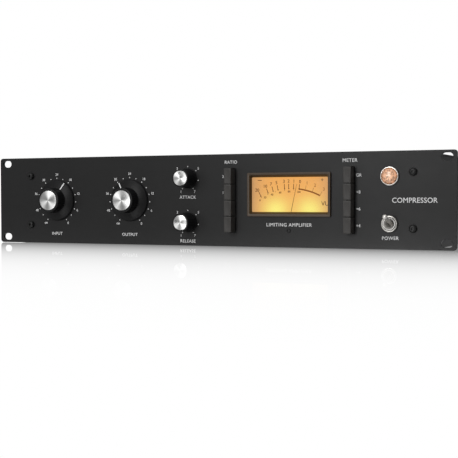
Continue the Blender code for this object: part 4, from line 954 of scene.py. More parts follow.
# ---- print ---------------------------------------------------------------------------------
class PrintSheet:
    """Print that is laid out flat, X to the right and Y up, then lifted to a thin raised layer."""

    capital = 0.682  # height of a capital letter in type of size 1
    thickness = 1.5 * HAIR

    def __init__(self, name: str, weight: float = 0.06 * MM) -> None:
        """Start an empty sheet.

        Args:
            name: The name of its piece.
            weight: How much its lines are thickened all round.
        """
        self.name = name
        self.weight = weight
        self.parts: list[Piece] = []

    def word(
        self, text: str, x: float, y: float, height: float, align: Align = Align.CENTRE,
        tracking: float = 1.0,
    ) -> None:
        """A word whose capitals are height tall and centred on y.

        Args:
            text: The word.
            x: Its left end, middle or right end.
            y: The middle of its capitals.
            height: The height of its capitals.
            align: Which of its points x is.
            tracking: How wide its letters are set.
        """
        bpy.ops.object.text_add()
        made = bpy.context.object
        made.data.body = text
        made.data.size = height / self.capital
        made.data.align_x = align.value
        made.data.space_character = tracking
        made.data.resolution_u = 3
        bpy.ops.object.convert(target="MESH")
        made = bpy.context.object
        made.data.transform(Matrix.Translation((x, y - height / 2, 0.0)))
        self.parts.append(made)

    def dot(self, x: float, y: float, radius: float, sides: int = 12) -> None:
        """A filled dot."""
        bpy.ops.mesh.primitive_circle_add(
            vertices=sides, radius=radius, fill_type="NGON", location=(x, y, 0.0)
        )
        made = bpy.context.object
        bpy.ops.object.transform_apply(location=True, rotation=True, scale=True)
        self.parts.append(made)

    def line(self, first: tuple[float, float], second: tuple[float, float], width: float) -> None:
        """A straight line between two points."""
        start, end = Vector((*first, 0.0)), Vector((*second, 0.0))
        along, middle = end - start, (start + end) / 2
        bpy.ops.mesh.primitive_plane_add(size=1.0)
        made = bpy.context.object
        made.data.transform(Matrix.Diagonal((along.length, width, 1.0, 1.0)))
        turn = Matrix.Rotation(atan2(along.y, along.x), 4, "Z")
        made.data.transform(Matrix.Translation(middle) @ turn)
        self.parts.append(made)

    def arc(
        self, centre: tuple[float, float], radius: float, start: float, end: float, width: float,
        steps: int = 16,
    ) -> None:
        """A strip bent along an arc. Angles are in degrees clockwise from straight up."""
        inner, outer = radius - width / 2, radius + width / 2
        bpy.ops.mesh.primitive_plane_add(size=1.0)
        made = bpy.context.object
        made.data.transform(Matrix.Diagonal((MERGE * 2, outer - inner, 1.0, 1.0)))
        made.data.transform(Matrix.Translation((0.0, radius, 0.0)))
        made.data.transform(Matrix.Rotation(-radians(start), 4, "Z"))
        far = Vector((sin(radians(start)), cos(radians(start)), 0.0))
        side = Vector((far.y, -far.x, 0.0))
        with editing(made, "edges", lambda a, b: a.dot(side) > 0.0 and b.dot(side) > 0.0):
            bpy.ops.mesh.spin(
                steps=steps, angle=radians(end - start), center=(0.0, 0.0, 0.0), axis=(0.0, 0.0, 1.0)
            )
        made.data.transform(Matrix.Translation((*centre, 0.0)))
        self.parts.append(made)

    def lift(self, face: float, facing: Facing = Facing.FRONT) -> Piece:
        """Join the sheet, give it a thickness and stand it on a face.

        Args:
            face: The depth of the face that the print is on.
            facing: Which way it is read from.

        Returns:
            The finished print.
        """
        made = join(self.name, self.parts)
        with editing(made):
            bpy.ops.mesh.remove_doubles(threshold=MERGE / 10)
            bpy.ops.mesh.select_all(action="SELECT")
            bpy.ops.mesh.normals_make_consistent(inside=False)
        flipped = sum(polygon.normal.z * polygon.area for polygon in made.data.polygons) < 0.0
        if flipped:
            with editing(made):
                bpy.ops.mesh.flip_normals()
        apply_modifier(made, "SOLIDIFY", thickness=self.thickness, offset=-1.0)
        with editing(made):
            bpy.ops.transform.shrink_fatten(value=self.weight)
        made.data.transform(Matrix.Translation((0.0, 0.0, HAIR)))
        stand = Matrix.Rotation(pi / 2, 4, "X")
        made.data.transform(Matrix.Translation((0.0, face, 0.0)) @ facing.value @ stand)
        return made


def on_circle(centre: tuple[float, float], radius: float, angle: float) -> tuple[float, float]:
    """A point on a circle, at an angle in degrees clockwise from straight up."""
    return centre[0] + radius * sin(radians(angle)), centre[1] + radius * cos(radians(angle))


# ---- sub-assemblies ------------------------------------------------------------------------
DIALS = ("input", "output", "attack", "release")
RATIOS = ("20", "12", "8", "4")  # the buttons of each bank, from the top
METER_MODES = ("gr", "8", "6", "4")
PORTS = ("input", "output")
JACK_THREAD = 5.8 * MM  # the radius of a jack socket's threaded neck


@dataclass
class SubAssembly(ABC):
    """A group of pieces that are modelled and dressed together."""

    bench: Bench

    @property
    def front(self) -> float:
        """The depth of the panel's face."""
        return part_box("front_panel")[0].y

    @property
    def rear(self) -> float:
        """The depth of the rear panel's outer face."""
        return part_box("rear_panel")[1].y

    @abstractmethod
    def build(self) -> None:
        """Model the pieces, dress them and let them ride with their bodies."""


@dataclass
class FrontPanel(SubAssembly):
    """The painted panel with its slots and openings, and the print on it."""

    corner: float = 3.0 * MM
    edge: float = 0.25 * MM
    slot_length: float = 10.2 * MM
    slot_height: float = 7.0 * MM
    slot_spacing_x: float = 465.1 * MM
    slot_spacing_z: float = 76.2 * MM
    clearance: float = 0.3 * MM
    bushing_radius: float = 4.7 * MM
    lamp_tube: float = 7.1 * MM
    toggle_bushing: float = 5.7 * MM
    screw_shank: float = 1.5 * MM
    bezel_lip: float = 1.2 * MM
    label_height: float = 2.9 * MM
    numeral_height: float = 2.35 * MM
    legend_height: float = 2.68 * MM
    large_label_drop: float = 34.05 * MM  # of a dial's name below its axis
    small_label_drop: float = 18.25 * MM
    tracking: float = 1.08

    def build(self) -> None:
        """Model the panel, then its print."""
        low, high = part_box("front_panel")
        self.middle = (low.z + high.z) / 2
        panel = round_corners(block("front_panel_shell", low, high), self.corner)
        carve(panel, self.cutters(low.y - MM, high.y + MM))
        soften(panel, self.edge, angle=50.0)
        shade(panel, 20.0)
        self.bench.stand_for("front_panel", panel, PANEL_PAINT, "panel_paint")
        self.print_labels()

    def cutters(self, front: float, back: float) -> list[Piece]:
        """A cutter for each slot and opening.

        Args:
            front: A depth in front of the panel.
            back: A depth behind it.

        Returns:
            The cutters, which don't touch each other.
        """
        made = []
        for side, end in product((-1, 1), (-1, 1)):
            x = side * self.slot_spacing_x / 2
            z = self.middle + end * self.slot_spacing_z / 2
            half_x, half_z = self.slot_length / 2, self.slot_height / 2
            blank = block("slot", (x - half_x, front, z - half_z), (x + half_x, back, z + half_z))
            made.append(round_corners(blank, half_z - MERGE * 10, segments=10))
        low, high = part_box("meter_zero_screw")
        rounds = [(f"panel_screw_{index}", self.screw_shank) for index in range(1, 5)]
        rounds += [(f"{name}_pot_shaft", self.bushing_radius) for name in DIALS]
        rounds += [("pilot_lamp_bezel", self.lamp_tube), ("power_toggle_nut", self.toggle_bushing)]
        rounds.append(("meter_zero_screw", (high.x - low.x) / 2))
        made += drill([(node, radius + self.clearance) for node, radius in rounds], front, back, 40)
        for bank, labels in (("ratio", RATIOS), ("meter", METER_MODES)):
            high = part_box(f"{bank}_button_{labels[0]}")[1]
            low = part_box(f"{bank}_button_{labels[-1]}")[0]
            made.append(opening(low, high, self.clearance, front, back))
        neck = opening(*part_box("meter_bezel"), self.clearance - self.bezel_lip, front, back)
        made.append(round_corners(neck, 1.2 * MM))
        return made

    def print_labels(self) -> None:
        """The names of the controls, the switch legends and the unit's title."""
        sheet = PrintSheet("panel_control_print")
        tall = self.label_height
        for name in DIALS:
            drop = self.large_label_drop if name in ("input", "output") else self.small_label_drop
            centre = middle_of(f"{name}_knob")
            sheet.word(name.upper(), centre.x, centre.z - drop, tall, tracking=self.tracking)
        toggle = middle_of("power_toggle_nut")
        sheet.word("POWER", toggle.x + 0.5 * MM, toggle.z - 12.8 * MM, tall, tracking=self.tracking)
        top = self.middle + 36.3 * MM
        for name, shift, height in (("ratio", 0.6 * MM, tall), ("meter", 0.3 * MM, tall * 1.06)):
            x = middle_of(f"{name}_switch_bank").x - shift
            sheet.word(name.upper(), x, top, height, tracking=self.tracking)
        for value in RATIOS:
            button = middle_of(f"ratio_button_{value}")
            sheet.word(value, button.x - 6.2 * MM, button.z - 0.2 * MM, self.numeral_height, Align.RIGHT)
        for value in METER_MODES:
            button = middle_of(f"meter_button_{value}")
            text = "GR" if value == "gr" else f"+{value}"
            sheet.word(text, button.x + 5.5 * MM, button.z - 0.2 * MM, self.legend_height, Align.LEFT)
        self.settle_print(sheet)
        title = PrintSheet("panel_title_print")
        bezel = middle_of("meter_bezel")
        title.word("LIMITING AMPLIFIER", bezel.x, self.middle - 22.9 * MM, 3.1 * MM, tracking=1.12)
        title.word("COMPRESSOR", toggle.x + 22.4 * MM, self.middle, 4.4 * MM, tracking=1.02)
        self.settle_print(title)

    def settle_print(self, sheet: PrintSheet) -> None:
        """Lift a sheet onto the panel's face and settle it."""
        self.bench.settle(sheet.lift(self.front), WHITE_INK, "front_panel")


@dataclass(frozen=True)
class SocketScrew:
    """A button-head screw with a hexagon socket, modelled once and copied."""

    head_radius: float
    head_height: float
    socket_radius: float
    socket_depth: float
    shank_radius: float
    shank_length: float
    segments: int = 32

    def model(self, name: str) -> Piece:
        """One screw at the origin, facing the front, its head's foot on the plane of its face."""
        dome = []
        steps = 6
        rim = 0.25
        for step in range(steps + 1):
            angle = radians(90 * step / steps)
            radius = self.head_radius * (0.45 + 0.55 * sin(angle))
            dome.append((radius, -self.head_height * (rim + (1 - rim) * cos(angle))))
        shank, end, point = self.shank_radius, self.shank_length, 0.3 * MM
        profile = [
            (0.0, -self.head_height), *dome, (self.head_radius, 0.0), (shank, 0.0), (shank, end - point),
            (shank - point, end), (0.0, end),
        ]
        screw = turned(name, profile, self.segments)
        floor = -self.head_height + self.socket_depth
        socket = prism("socket", 6, self.socket_radius, -self.head_height - MM, floor)
        carve(screw, [socket])
        return shade(screw, 30.0)


COVER_SCREW = SocketScrew(2.6 * MM, 1.2 * MM, 1.05 * MM, 0.8 * MM, 1.4 * MM, 4.0 * MM, 24)
FLANGE_SCREW = SocketScrew(1.9 * MM, 0.9 * MM, 0.8 * MM, 0.6 * MM, 1.2 * MM, 2.0 * MM, 24)


@dataclass
class PanelScrews(SubAssembly):
    """The four socket screws that hold the panel to the chassis."""

    socket_radius: float = 1.45 * MM
    socket_depth: float = 1.5 * MM
    shank_radius: float = 1.5 * MM
    lift: float = 0.05 * MM  # of the heads off the panel

    def build(self) -> None:
        """Model one screw and settle a copy at each place."""
        low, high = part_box("panel_screw_1")
        foot = self.front - self.lift
        head = (high.x - low.x) / 2
        model = SocketScrew(
            head, foot - low.y, self.socket_radius, self.socket_depth, self.shank_radius, high.y - foot
        ).model("panel_screw")
        for index in range(1, 5):
            node = f"panel_screw_{index}"
            screw = copy_of(model, f"{node}_head", axis_of(node) + Vector((0.0, foot, 0.0)))
            self.bench.stand_for(node, screw, BLACK_OXIDE, "screw_black")
        discard(model)


@dataclass(frozen=True)
class DialScale:
    """The dots and numerals round a dial."""

    dot_circle: float
    dot_step: float  # degrees between dots
    numeral_circle: float
    numerals: dict[float, str]  # angle: text
    end: float = 150.0
    dot_radius: float = 0.48 * MM
    numeral_height: float = 2.35 * MM
    sign_height: float = 2.9 * MM


LARGE_SCALE = DialScale(
    22.7 * MM, 18.75, 26.6 * MM,
    {
        -150.0: "∞", -112.5: "48", -75.0: "36", -37.5: "30", 0.0: "24", 37.5: "18", 75.0: "12",
        112.5: "6", 150.0: "0",
    },
)
SMALL_SCALE = DialScale(
    11.5 * MM, 50.0, 14.9 * MM, {-150.0: "1", -50.0: "3", 50.0: "5", 150.0: "7"}, dot_radius=0.45 * MM
)


@dataclass(frozen=True)
class KnobStyle:
    """What differs between the large skirted knobs and the small ones."""

    rim: float  # the knob's wall around the metal cap
    taper: float
    skirt: float  # reach of the skirt past the barrel's foot
    skirt_edge: float
    skirt_rise: float
    flutes: int
    flute_depth: float
    nut_space: float
    scale: DialScale
    line_width: float = 1.0 * MM
    ring_circle: float = 4.7 * MM  # the ring mark's distance from the axis


LARGE_KNOB = KnobStyle(
    1.9 * MM, 0.6 * MM, 8.0 * MM, 1.8 * MM, 2.2 * MM, 40, 0.35 * MM, 9.5 * MM, LARGE_SCALE
)
SMALL_KNOB = KnobStyle(
    1.0 * MM, 0.4 * MM, 0.7 * MM, 2.2 * MM, 0.8 * MM, 32, 0.28 * MM, 7.1 * MM, SMALL_SCALE
)


@dataclass
class Dial(SubAssembly):
    """A knob with its metal cap and pointer, the shaft behind it and the scale round it."""

    name: str
    style: KnobStyle
    pointer: float  # where the pointer stands at rest, in degrees clockwise from straight up
    cap_finish: Finish
    steps_per_flute: int = 4
    shaft_bore: float = 3.3 * MM
    bore_front: float = 12.6 * MM  # of the shaft's bore, in front of the panel
    hollow_front: float = 4.1 * MM
    cap_seat: float = 0.3 * MM

    def build(self) -> None:
        """Model the knob, its cap, its pointer and its scale."""
        knob_low, knob_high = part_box(f"{self.name}_knob")
        cap_low, cap_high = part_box(f"{self.name}_knob_cap")
        self.axis = axis_of(f"{self.name}_knob_cap")
        self.cap_radius = (cap_high.x - cap_low.x) / 2
        self.model_knob(knob_low.y, knob_high.y, cap_high.y)
        self.model_cap(cap_low.y, cap_high.y)
        self.model_pointer(knob_low.y, knob_high.y, cap_low.y)
        self.print_scale()
        self.bench.redress(f"{self.name}_pot", PRESSED_STEEL)
        self.bench.redress(f"{self.name}_pot_shaft", TURNED_STEEL, self.axis)

    def model_knob(self, face: float, back: float, cap_back: float) -> None:
        """The moulded knob, fluted round its barrel.

        Args:
            face: The depth of the knob's rim.
            back: The depth of its lowest face.
            cap_back: The depth of the metal cap's underside.
        """
        style = self.style
        seat = cap_back + self.cap_seat
        recess = self.cap_radius + self.cap_seat
        top = recess + style.rim
        foot = top + style.taper
        skirt = foot + style.skirt
        edge = back - style.skirt_edge
        shoulder = edge - style.skirt_rise
        lip = 0.45 * MM
        rim = min(0.9 * MM, style.skirt)
        hollow = self.front - self.hollow_front
        bore_front = max(self.front - self.bore_front, seat + MM)
        profile = [
            (0.0, seat), (recess, seat), (recess, face), (top - lip, face),
            (top - lip * 0.3, face + lip * 0.3), (top, face + lip), (foot, shoulder),
            (skirt - rim, self.skirt_face(skirt - rim, foot, back)), (skirt - rim * 0.5, edge + rim * 0.2),
            (skirt, back - 0.4 * MM), (skirt - 0.2 * MM, back), (style.nut_space, back),
            (style.nut_space, hollow), (self.shaft_bore, hollow), (self.shaft_bore, bore_front),
            (0.0, bore_front),
        ]
        knob = turned(f"{self.name}_knob_body", profile, style.flutes * self.steps_per_flute)
        self.cut_flutes(knob, top - lip * 0.5, foot + MERGE, face + lip * 0.5, shoulder + MERGE)
        shade(knob, 40.0)
        place(knob, self.axis)
        self.bench.stand_for(f"{self.name}_knob", knob, KNOB_PLASTIC, "knob_plastic")

    def skirt_face(self, radius: float, foot: float, back: float) -> float:
        """The depth of the skirt's slope at a radius, from the barrel's foot and the knob's back."""
        share = (radius - foot) / self.style.skirt
        return back - self.style.skirt_edge - self.style.skirt_rise * (1 - share)

    def cut_flutes(self, knob: Piece, inner: float, outer: float, front: float, back: float) -> None:
        """Press the barrel's wall in between its ribs.

        Args:
            knob: The knob, on its own axis at the origin.
            inner: The barrel's least radius.
            outer: The barrel's greatest radius.
            front: The depth where the flutes start.
            back: The depth where they end.
        """
        step = 2 * pi / (self.style.flutes * self.steps_per_flute)
        half = self.steps_per_flute // 2

        def on_barrel(point: Vector, share: int) -> bool:
            """Whether a point is in a flute, as many steps from its nearest rib as share."""
            radius = hypot(point.x, point.z)
            if not (inner <= radius <= outer and front <= point.y <= back):
                return False
            index = round(atan2(point.z, point.x) / step) % self.steps_per_flute
            return min(index, self.steps_per_flute - index) == share

        for share in range(1, half + 1):
            pressed = 1 - self.style.flute_depth * share / half / outer
            with editing(knob, "points", lambda point, share=share: on_barrel(point, share)):
                bpy.ops.transform.resize(value=(pressed, 1.0, pressed), center_override=(0.0, 0.0, 0.0))

    def model_cap(self, face: float, back: float) -> None:
        """The spun metal cap, with its fine outer chamfer."""
        radius = self.cap_radius
        profile = [
            (0.0, face + 0.05 * MM), (0.4 * MM, face + 0.03 * MM), (1.2 * MM, face),
            (radius - 0.55 * MM, face), (radius - 0.2 * MM, face + 0.12 * MM), (radius, face + 0.4 * MM),
            (radius, back), (0.0, back),
        ]
        cap = turned(f"{self.name}_cap_disc", profile, 96)
        shade(cap, 25.0)
        place(cap, self.axis)
        self.bench.stand_for(
            f"{self.name}_knob_cap", cap, self.cap_finish, "knob_cap_aluminium", self.axis
        )

    def model_pointer(self, face: float, back: float, cap_face: float) -> None:
        """The white line on a large knob's skirt, or the ring mark on a small knob's cap.

        Args:
            face: The depth of the knob's rim; not used.
            back: The depth of its lowest face.
            cap_face: The depth of the metal cap's face.
        """
        style = self.style
        if style is SMALL_KNOB:
            inner, outer = 0.65 * MM, 1.15 * MM
            section = [(inner, -2 * HAIR), (outer, -2 * HAIR), (outer, HAIR), (inner, HAIR)]
            ring = turned(f"{self.name}_pointer_ring", section, 24)
            x, z = on_circle((self.axis.x, self.axis.z), style.ring_circle, self.pointer)
            place(ring, Vector((x, cap_face, z)))
            self.bench.settle(ring, MARK_PAINT, f"{self.name}_knob")
            return
        foot = self.cap_radius + self.cap_seat + style.rim + style.taper
        start, end = foot + 0.2 * MM, foot + style.skirt - 0.5 * MM
        half = style.line_width / 2
        line = block(f"{self.name}_pointer_line", (-half, -2 * HAIR, start), (half, 2 * HAIR, end))
        for near in (start, end):
            with editing(line, "points", lambda point, near=near: abs(point.z - near) < MERGE):
                bpy.ops.transform.translate(value=(0.0, self.skirt_face(near, foot, back), 0.0))
        soften(line, HAIR, 1)
        place(line, self.axis, spin=radians(self.pointer))
        self.bench.settle(line, POINTER_INK, f"{self.name}_knob")

    def print_scale(self) -> None:
        """The dots and numerals round the knob."""
        scale = self.style.scale
        sheet = PrintSheet(f"{self.name}_scale_print")
        centre = (self.axis.x, self.axis.z)
        count = round(2 * scale.end / scale.dot_step)
        for index in range(count + 1):
            angle = -scale.end + index * scale.dot_step
            sheet.dot(*on_circle(centre, scale.dot_circle, angle), scale.dot_radius)
        for angle, text in scale.numerals.items():
            height = scale.sign_height if text == "∞" else scale.numeral_height
            sheet.word(text, *on_circle(centre, scale.numeral_circle, angle), height)
        self.bench.settle(sheet.lift(self.front), WHITE_INK, "front_panel")


@dataclass
class ButtonBank(SubAssembly):
    """Four push buttons above one another, on the switch bank behind the panel."""

    name: str
    labels: tuple[str, ...]
    stem: float = 3.6 * MM
    cap_depth: float = 11.6 * MM  # from a button's face to the back of its cap
    dish: float = 0.12 * MM
    dish_border: float = 0.8 * MM
    edge: float = 0.35 * MM

    def build(self) -> None:
        """Model one button, settle a copy at each place, and redress the bank."""
        first = f"{self.name}_button_{self.labels[0]}"
        low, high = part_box(first)
        model = self.model_button(low, high)
        start = middle_of(first)
        for label in self.labels:
            node = f"{self.name}_button_{label}"
            shift = middle_of(node) - start
            button = copy_of(model, f"{self.name}_key_{label}", shift)
            self.bench.stand_for(node, button, BUTTON_PLASTIC, "button_plastic")
        discard(model)
        self.bench.redress(f"{self.name}_switch_bank", CASE_PLASTIC)

    def model_button(self, low: Vector, high: Vector) -> Piece:
        """One button with a shallow dished face and the square stem behind it.

        Args:
            low: The lowest corner of the button's box.
            high: Its highest corner.

        Returns:
            The button, where its node is.
        """
        cap_back = low.y + self.cap_depth
        button = block("button", low, (high.x, cap_back, high.z))
        with editing(button, "edges", lambda a, b: max(a.y, b.y) < low.y + MERGE):
            bpy.ops.mesh.bevel(offset=self.edge, segments=3, affect="EDGES")
        round_corners(button, self.edge * 0.6, segments=2)
        with editing(button, "faces", lambda centre, normal: normal.y < -0.99 and centre.y < low.y + MERGE):
            bpy.ops.mesh.inset(thickness=self.dish_border, depth=0.0)
            bpy.ops.mesh.inset(thickness=self.dish_border, depth=-self.dish)
        width, height = high.x - low.x, high.z - low.z
        with editing(button, "faces", lambda centre, normal: normal.y > 0.99):
            bpy.ops.mesh.extrude_region_move(TRANSFORM_OT_translate={"value": (0.0, 0.0, 0.0)})
            centre = ((low.x + high.x) / 2, cap_back, (low.z + high.z) / 2)
            shrink = (self.stem / width, 1.0, self.stem / height)
            bpy.ops.transform.resize(value=shrink, center_override=centre)
            stem = (0.0, high.y - cap_back, 0.0)
            bpy.ops.mesh.extrude_region_move(TRANSFORM_OT_translate={"value": stem})
        return shade(button, 30.0)


@dataclass
class NeedleMeter(SubAssembly):
    """The lit needle meter: bezel, window, printed card, needle and zero screw."""

    rim: float = 2.2 * MM
    bezel_corner: float = 1.2 * MM
    bezel_edge: float = 0.3 * MM
    lip: float = 1.2 * MM
    flange: float = 2.1 * MM  # from the bezel's face to the panel
    window_width: float = 75.4 * MM
    window_height: float = 32.5 * MM
    window_depth: float = 1.3 * MM  # of the opening's edge behind the panel's face
    scale_centre_drop: float = 60.35 * MM  # of the scale arc's centre below the window's middle
    scale_radius: float = 66.0 * MM
    scale_start: float = -29.4
    scale_sweep: float = 36.6
    scale_bend: float = 1.2
    marks: tuple[int, ...] = (-20, -10, -7, -5, -3, -2, -1, 0, 1, 2, 3)
    needle_width: float = 0.42 * MM

    def build(self) -> None:
        """Model each piece of the meter."""
        self.middle = middle_of("meter_bezel")
        self.model_bezel()
        self.model_window()
        self.model_card()
        self.print_card()
        self.model_needle()
        self.model_zero_screw()
        self.bench.redress("meter_case", CASE_PLASTIC)
        self.bench.redress("meter_movement", PRESSED_STEEL)

    def framed(
        self, name: str, width: float, height: float, front: float, back: float, corner: float
    ) -> Piece:
        """A block about the window's middle, with round corners."""
        low = (self.middle.x - width / 2, front, self.middle.z - height / 2)
        high = (self.middle.x + width / 2, back, self.middle.z + height / 2)
        return round_corners(block(name, low, high), corner)

    def model_bezel(self) -> None:
        """The bezel: flat rim, sloping inner walls and the ledge that the window rests on."""
        low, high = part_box("meter_bezel")
        width, height = high.x - low.x, high.z - low.z
        flange_back = low.y + self.flange
        bezel = self.framed("meter_bezel_frame", width, height, low.y, flange_back, self.bezel_corner)
        neck_size = (width - 2 * self.lip, height - 2 * self.lip)
        neck = self.framed("neck", *neck_size, flange_back - 0.5 * MM, high.y, self.bezel_corner)
        carve(bezel, [neck], "UNION")
        edge = self.front + self.window_depth
        reach = MM
        run_x = (width - 2 * self.rim - self.window_width) / 2
        run_z = (height - 2 * self.rim - self.window_height) / 2
        window = (self.window_width, self.window_height)
        opening = self.framed("opening", *window, low.y - reach, edge, 0.8 * MM)
        grow = 1 + reach / (edge - low.y)
        scale = (1 + 2 * run_x * grow / self.window_width, 1.0, 1 + 2 * run_z * grow / self.window_height)
        with editing(opening, "points", lambda point: point.y < low.y):
            bpy.ops.transform.resize(value=scale, center_override=self.middle)
        with editing(opening, "faces", lambda centre, normal: normal.y > 0.99):
            through = (0.0, high.y + reach - edge, 0.0)
            bpy.ops.mesh.extrude_region_move(TRANSFORM_OT_translate={"value": through})
        carve(bezel, [opening])
        pane_low, pane_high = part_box("meter_window")
        gap = 0.3 * MM
        ledge = self.framed(
            "ledge", pane_high.x - pane_low.x + 2 * gap, pane_high.z - pane_low.z + 2 * gap,
            pane_low.y - gap, high.y + reach, self.bezel_corner,
        )
        carve(bezel, [ledge])
        soften(bezel, self.bezel_edge * 0.6, angle=30.0)
        shade(bezel, 20.0)
        self.bench.stand_for("meter_bezel", bezel, BEZEL_PLASTIC, "bezel_plastic")

    def model_window(self) -> None:
        """The clear pane."""
        low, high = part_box("meter_window")
        pane = round_corners(block("meter_window_pane", low, high), self.bezel_corner)
        soften(pane, 0.12 * MM, angle=50.0)
        shade(pane, 20.0)
        self.bench.stand_for("meter_window", pane, WINDOW_CLEAR, "window_clear")

    def model_card(self) -> None:
        """The printed card, with the light of two lamps below the window's lower edge painted on it as
        emission.
        """
        low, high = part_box("meter_scale_plate")
        card = round_corners(block("meter_scale_card", low, high), 1.5 * MM)
        soften(card, 0.1 * MM, 1, angle=50.0)
        bottom = -self.window_height / 2 + 1.5 * MM
        finish = LitCard(
            "lit_scale_card", (0.06, 0.03, 0.01), 0.65, specular=0.2,
            lamps=((-14.8 * MM, bottom), (18.6 * MM, bottom)),
        )
        self.bench.stand_for("meter_scale_plate", card, finish, "scale_card", self.middle)

    def scale_angle(self, share: float) -> float:
        """The angle of a mark, in degrees clockwise from straight up, from its share of full level."""
        return self.scale_start + self.scale_sweep * share**self.scale_bend

    def print_card(self) -> None:
        """The decibel scale, the percent scale below it, the overload arc and the signs."""
        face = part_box("meter_scale_plate")[0].y
        centre = (self.middle.x, self.middle.z - self.scale_centre_drop)
        radius = self.scale_radius
        ink = PrintSheet("meter_scale_print", 0.05 * MM)
        over = PrintSheet("meter_overload_print", 0.02 * MM)
        for mark in self.marks:
            angle = self.scale_angle(10 ** (mark / 20))
            sheet = ink if mark <= 0 else over
            start = on_circle(centre, radius + 0.6 * MM, angle)
            sheet.line(start, on_circle(centre, radius + 4.4 * MM, angle), (0.5 if mark <= 0 else 0.3) * MM)
            sheet.word(str(abs(mark)), *on_circle(centre, radius + 7.0 * MM, angle * 1.02), 2.9 * MM)
            if mark <= 0:
                ink.dot(*on_circle(centre, radius, angle), 0.55 * MM)
        for percent in range(0, 101, 10):
            angle = self.scale_angle(percent / 100)
            if percent % 20 == 0:
                ink.word(str(percent), *on_circle(centre, radius - 2.8 * MM, angle), 1.8 * MM)
            else:
                ink.dot(*on_circle(centre, radius - 1.3 * MM, angle), 0.28 * MM)
        side = self.window_width / 2
        sign_z = self.middle.z + 13.5 * MM
        left, right = self.middle.x - side, self.middle.x + side
        ink.line((left + 4.5 * MM, sign_z), (left + 8.5 * MM, sign_z), 0.55 * MM)
        ink.word("+", right - 6.6 * MM, sign_z, 3.4 * MM)
        ink.word("VU", right - 3.8 * MM, self.middle.z - 8.3 * MM, 3.9 * MM)
        self.bench.settle(ink.lift(face), SCALE_INK, "meter_scale_plate")
        start, end = self.scale_angle(1.0), self.scale_angle(10 ** (3 / 20))
        over.arc(centre, radius, start, end, 1.3 * MM)
        self.bench.settle(over.lift(face), SCALE_RED, "meter_scale_plate")

    def model_needle(self) -> None:
        """The needle: a tapering blade on its hub, with a counterweight behind the pivot."""
        node = self.bench.frame["nodes"]["meter_needle"]
        low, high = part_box("meter_needle")
        pivot = self.bench.pivot("meter_needle")
        tip = max((Vector(point.co) for point in node.data.vertices), key=lambda point: point.z)
        angle = atan2(tip.x - pivot.x, tip.z - pivot.z)
        length = hypot(tip.x - pivot.x, tip.z - pivot.z)
        thick = high.y - low.y
        half = self.needle_width / 2
        blade = block("blade", (-half, -thick / 2, -4.5 * MM), (half, thick / 2, length))
        with editing(blade, "points", lambda point: point.z > length / 2):
            bpy.ops.transform.resize(value=(0.45, 1.0, 1.0), center_override=(0.0, 0.0, length))
        face, rim = 2.0 * MM, 2.2 * MM
        profile = [
            (0.0, -thick / 2), (face, -thick / 2), (rim, -thick / 4), (rim, thick / 4), (face, thick / 2),
            (0.0, thick / 2),
        ]
        carve(blade, [turned("hub", profile, 32)], "UNION")
        blade.name = blade.data.name = "meter_pointer"
        place(blade, Vector((pivot.x, (low.y + high.y) / 2, pivot.z)), spin=angle)
        self.bench.stand_for("meter_needle", blade, NEEDLE_PAINT, "needle_black")

    def model_zero_screw(self) -> None:
        """The slotted screw that sets the needle's rest."""
        low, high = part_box("meter_zero_screw")
        radius = (high.x - low.x) / 2
        profile = [
            (0.0, low.y), (radius - 0.35 * MM, low.y), (radius - 0.1 * MM, low.y + 0.1 * MM),
            (radius, low.y + 0.35 * MM), (radius, high.y), (0.0, high.y),
        ]
        screw = turned("meter_zero_screw_head", profile, 32)
        reach, half = radius + MM, 0.25 * MM
        groove = block("groove", (-reach, low.y - MM, -half), (reach, low.y + 0.6 * MM, half))
        carve(screw, [groove])
        shade(screw, 30.0)
        place(screw, axis_of("meter_zero_screw"))
        self.bench.stand_for("meter_zero_screw", screw, BLACK_OXIDE, "screw_black")


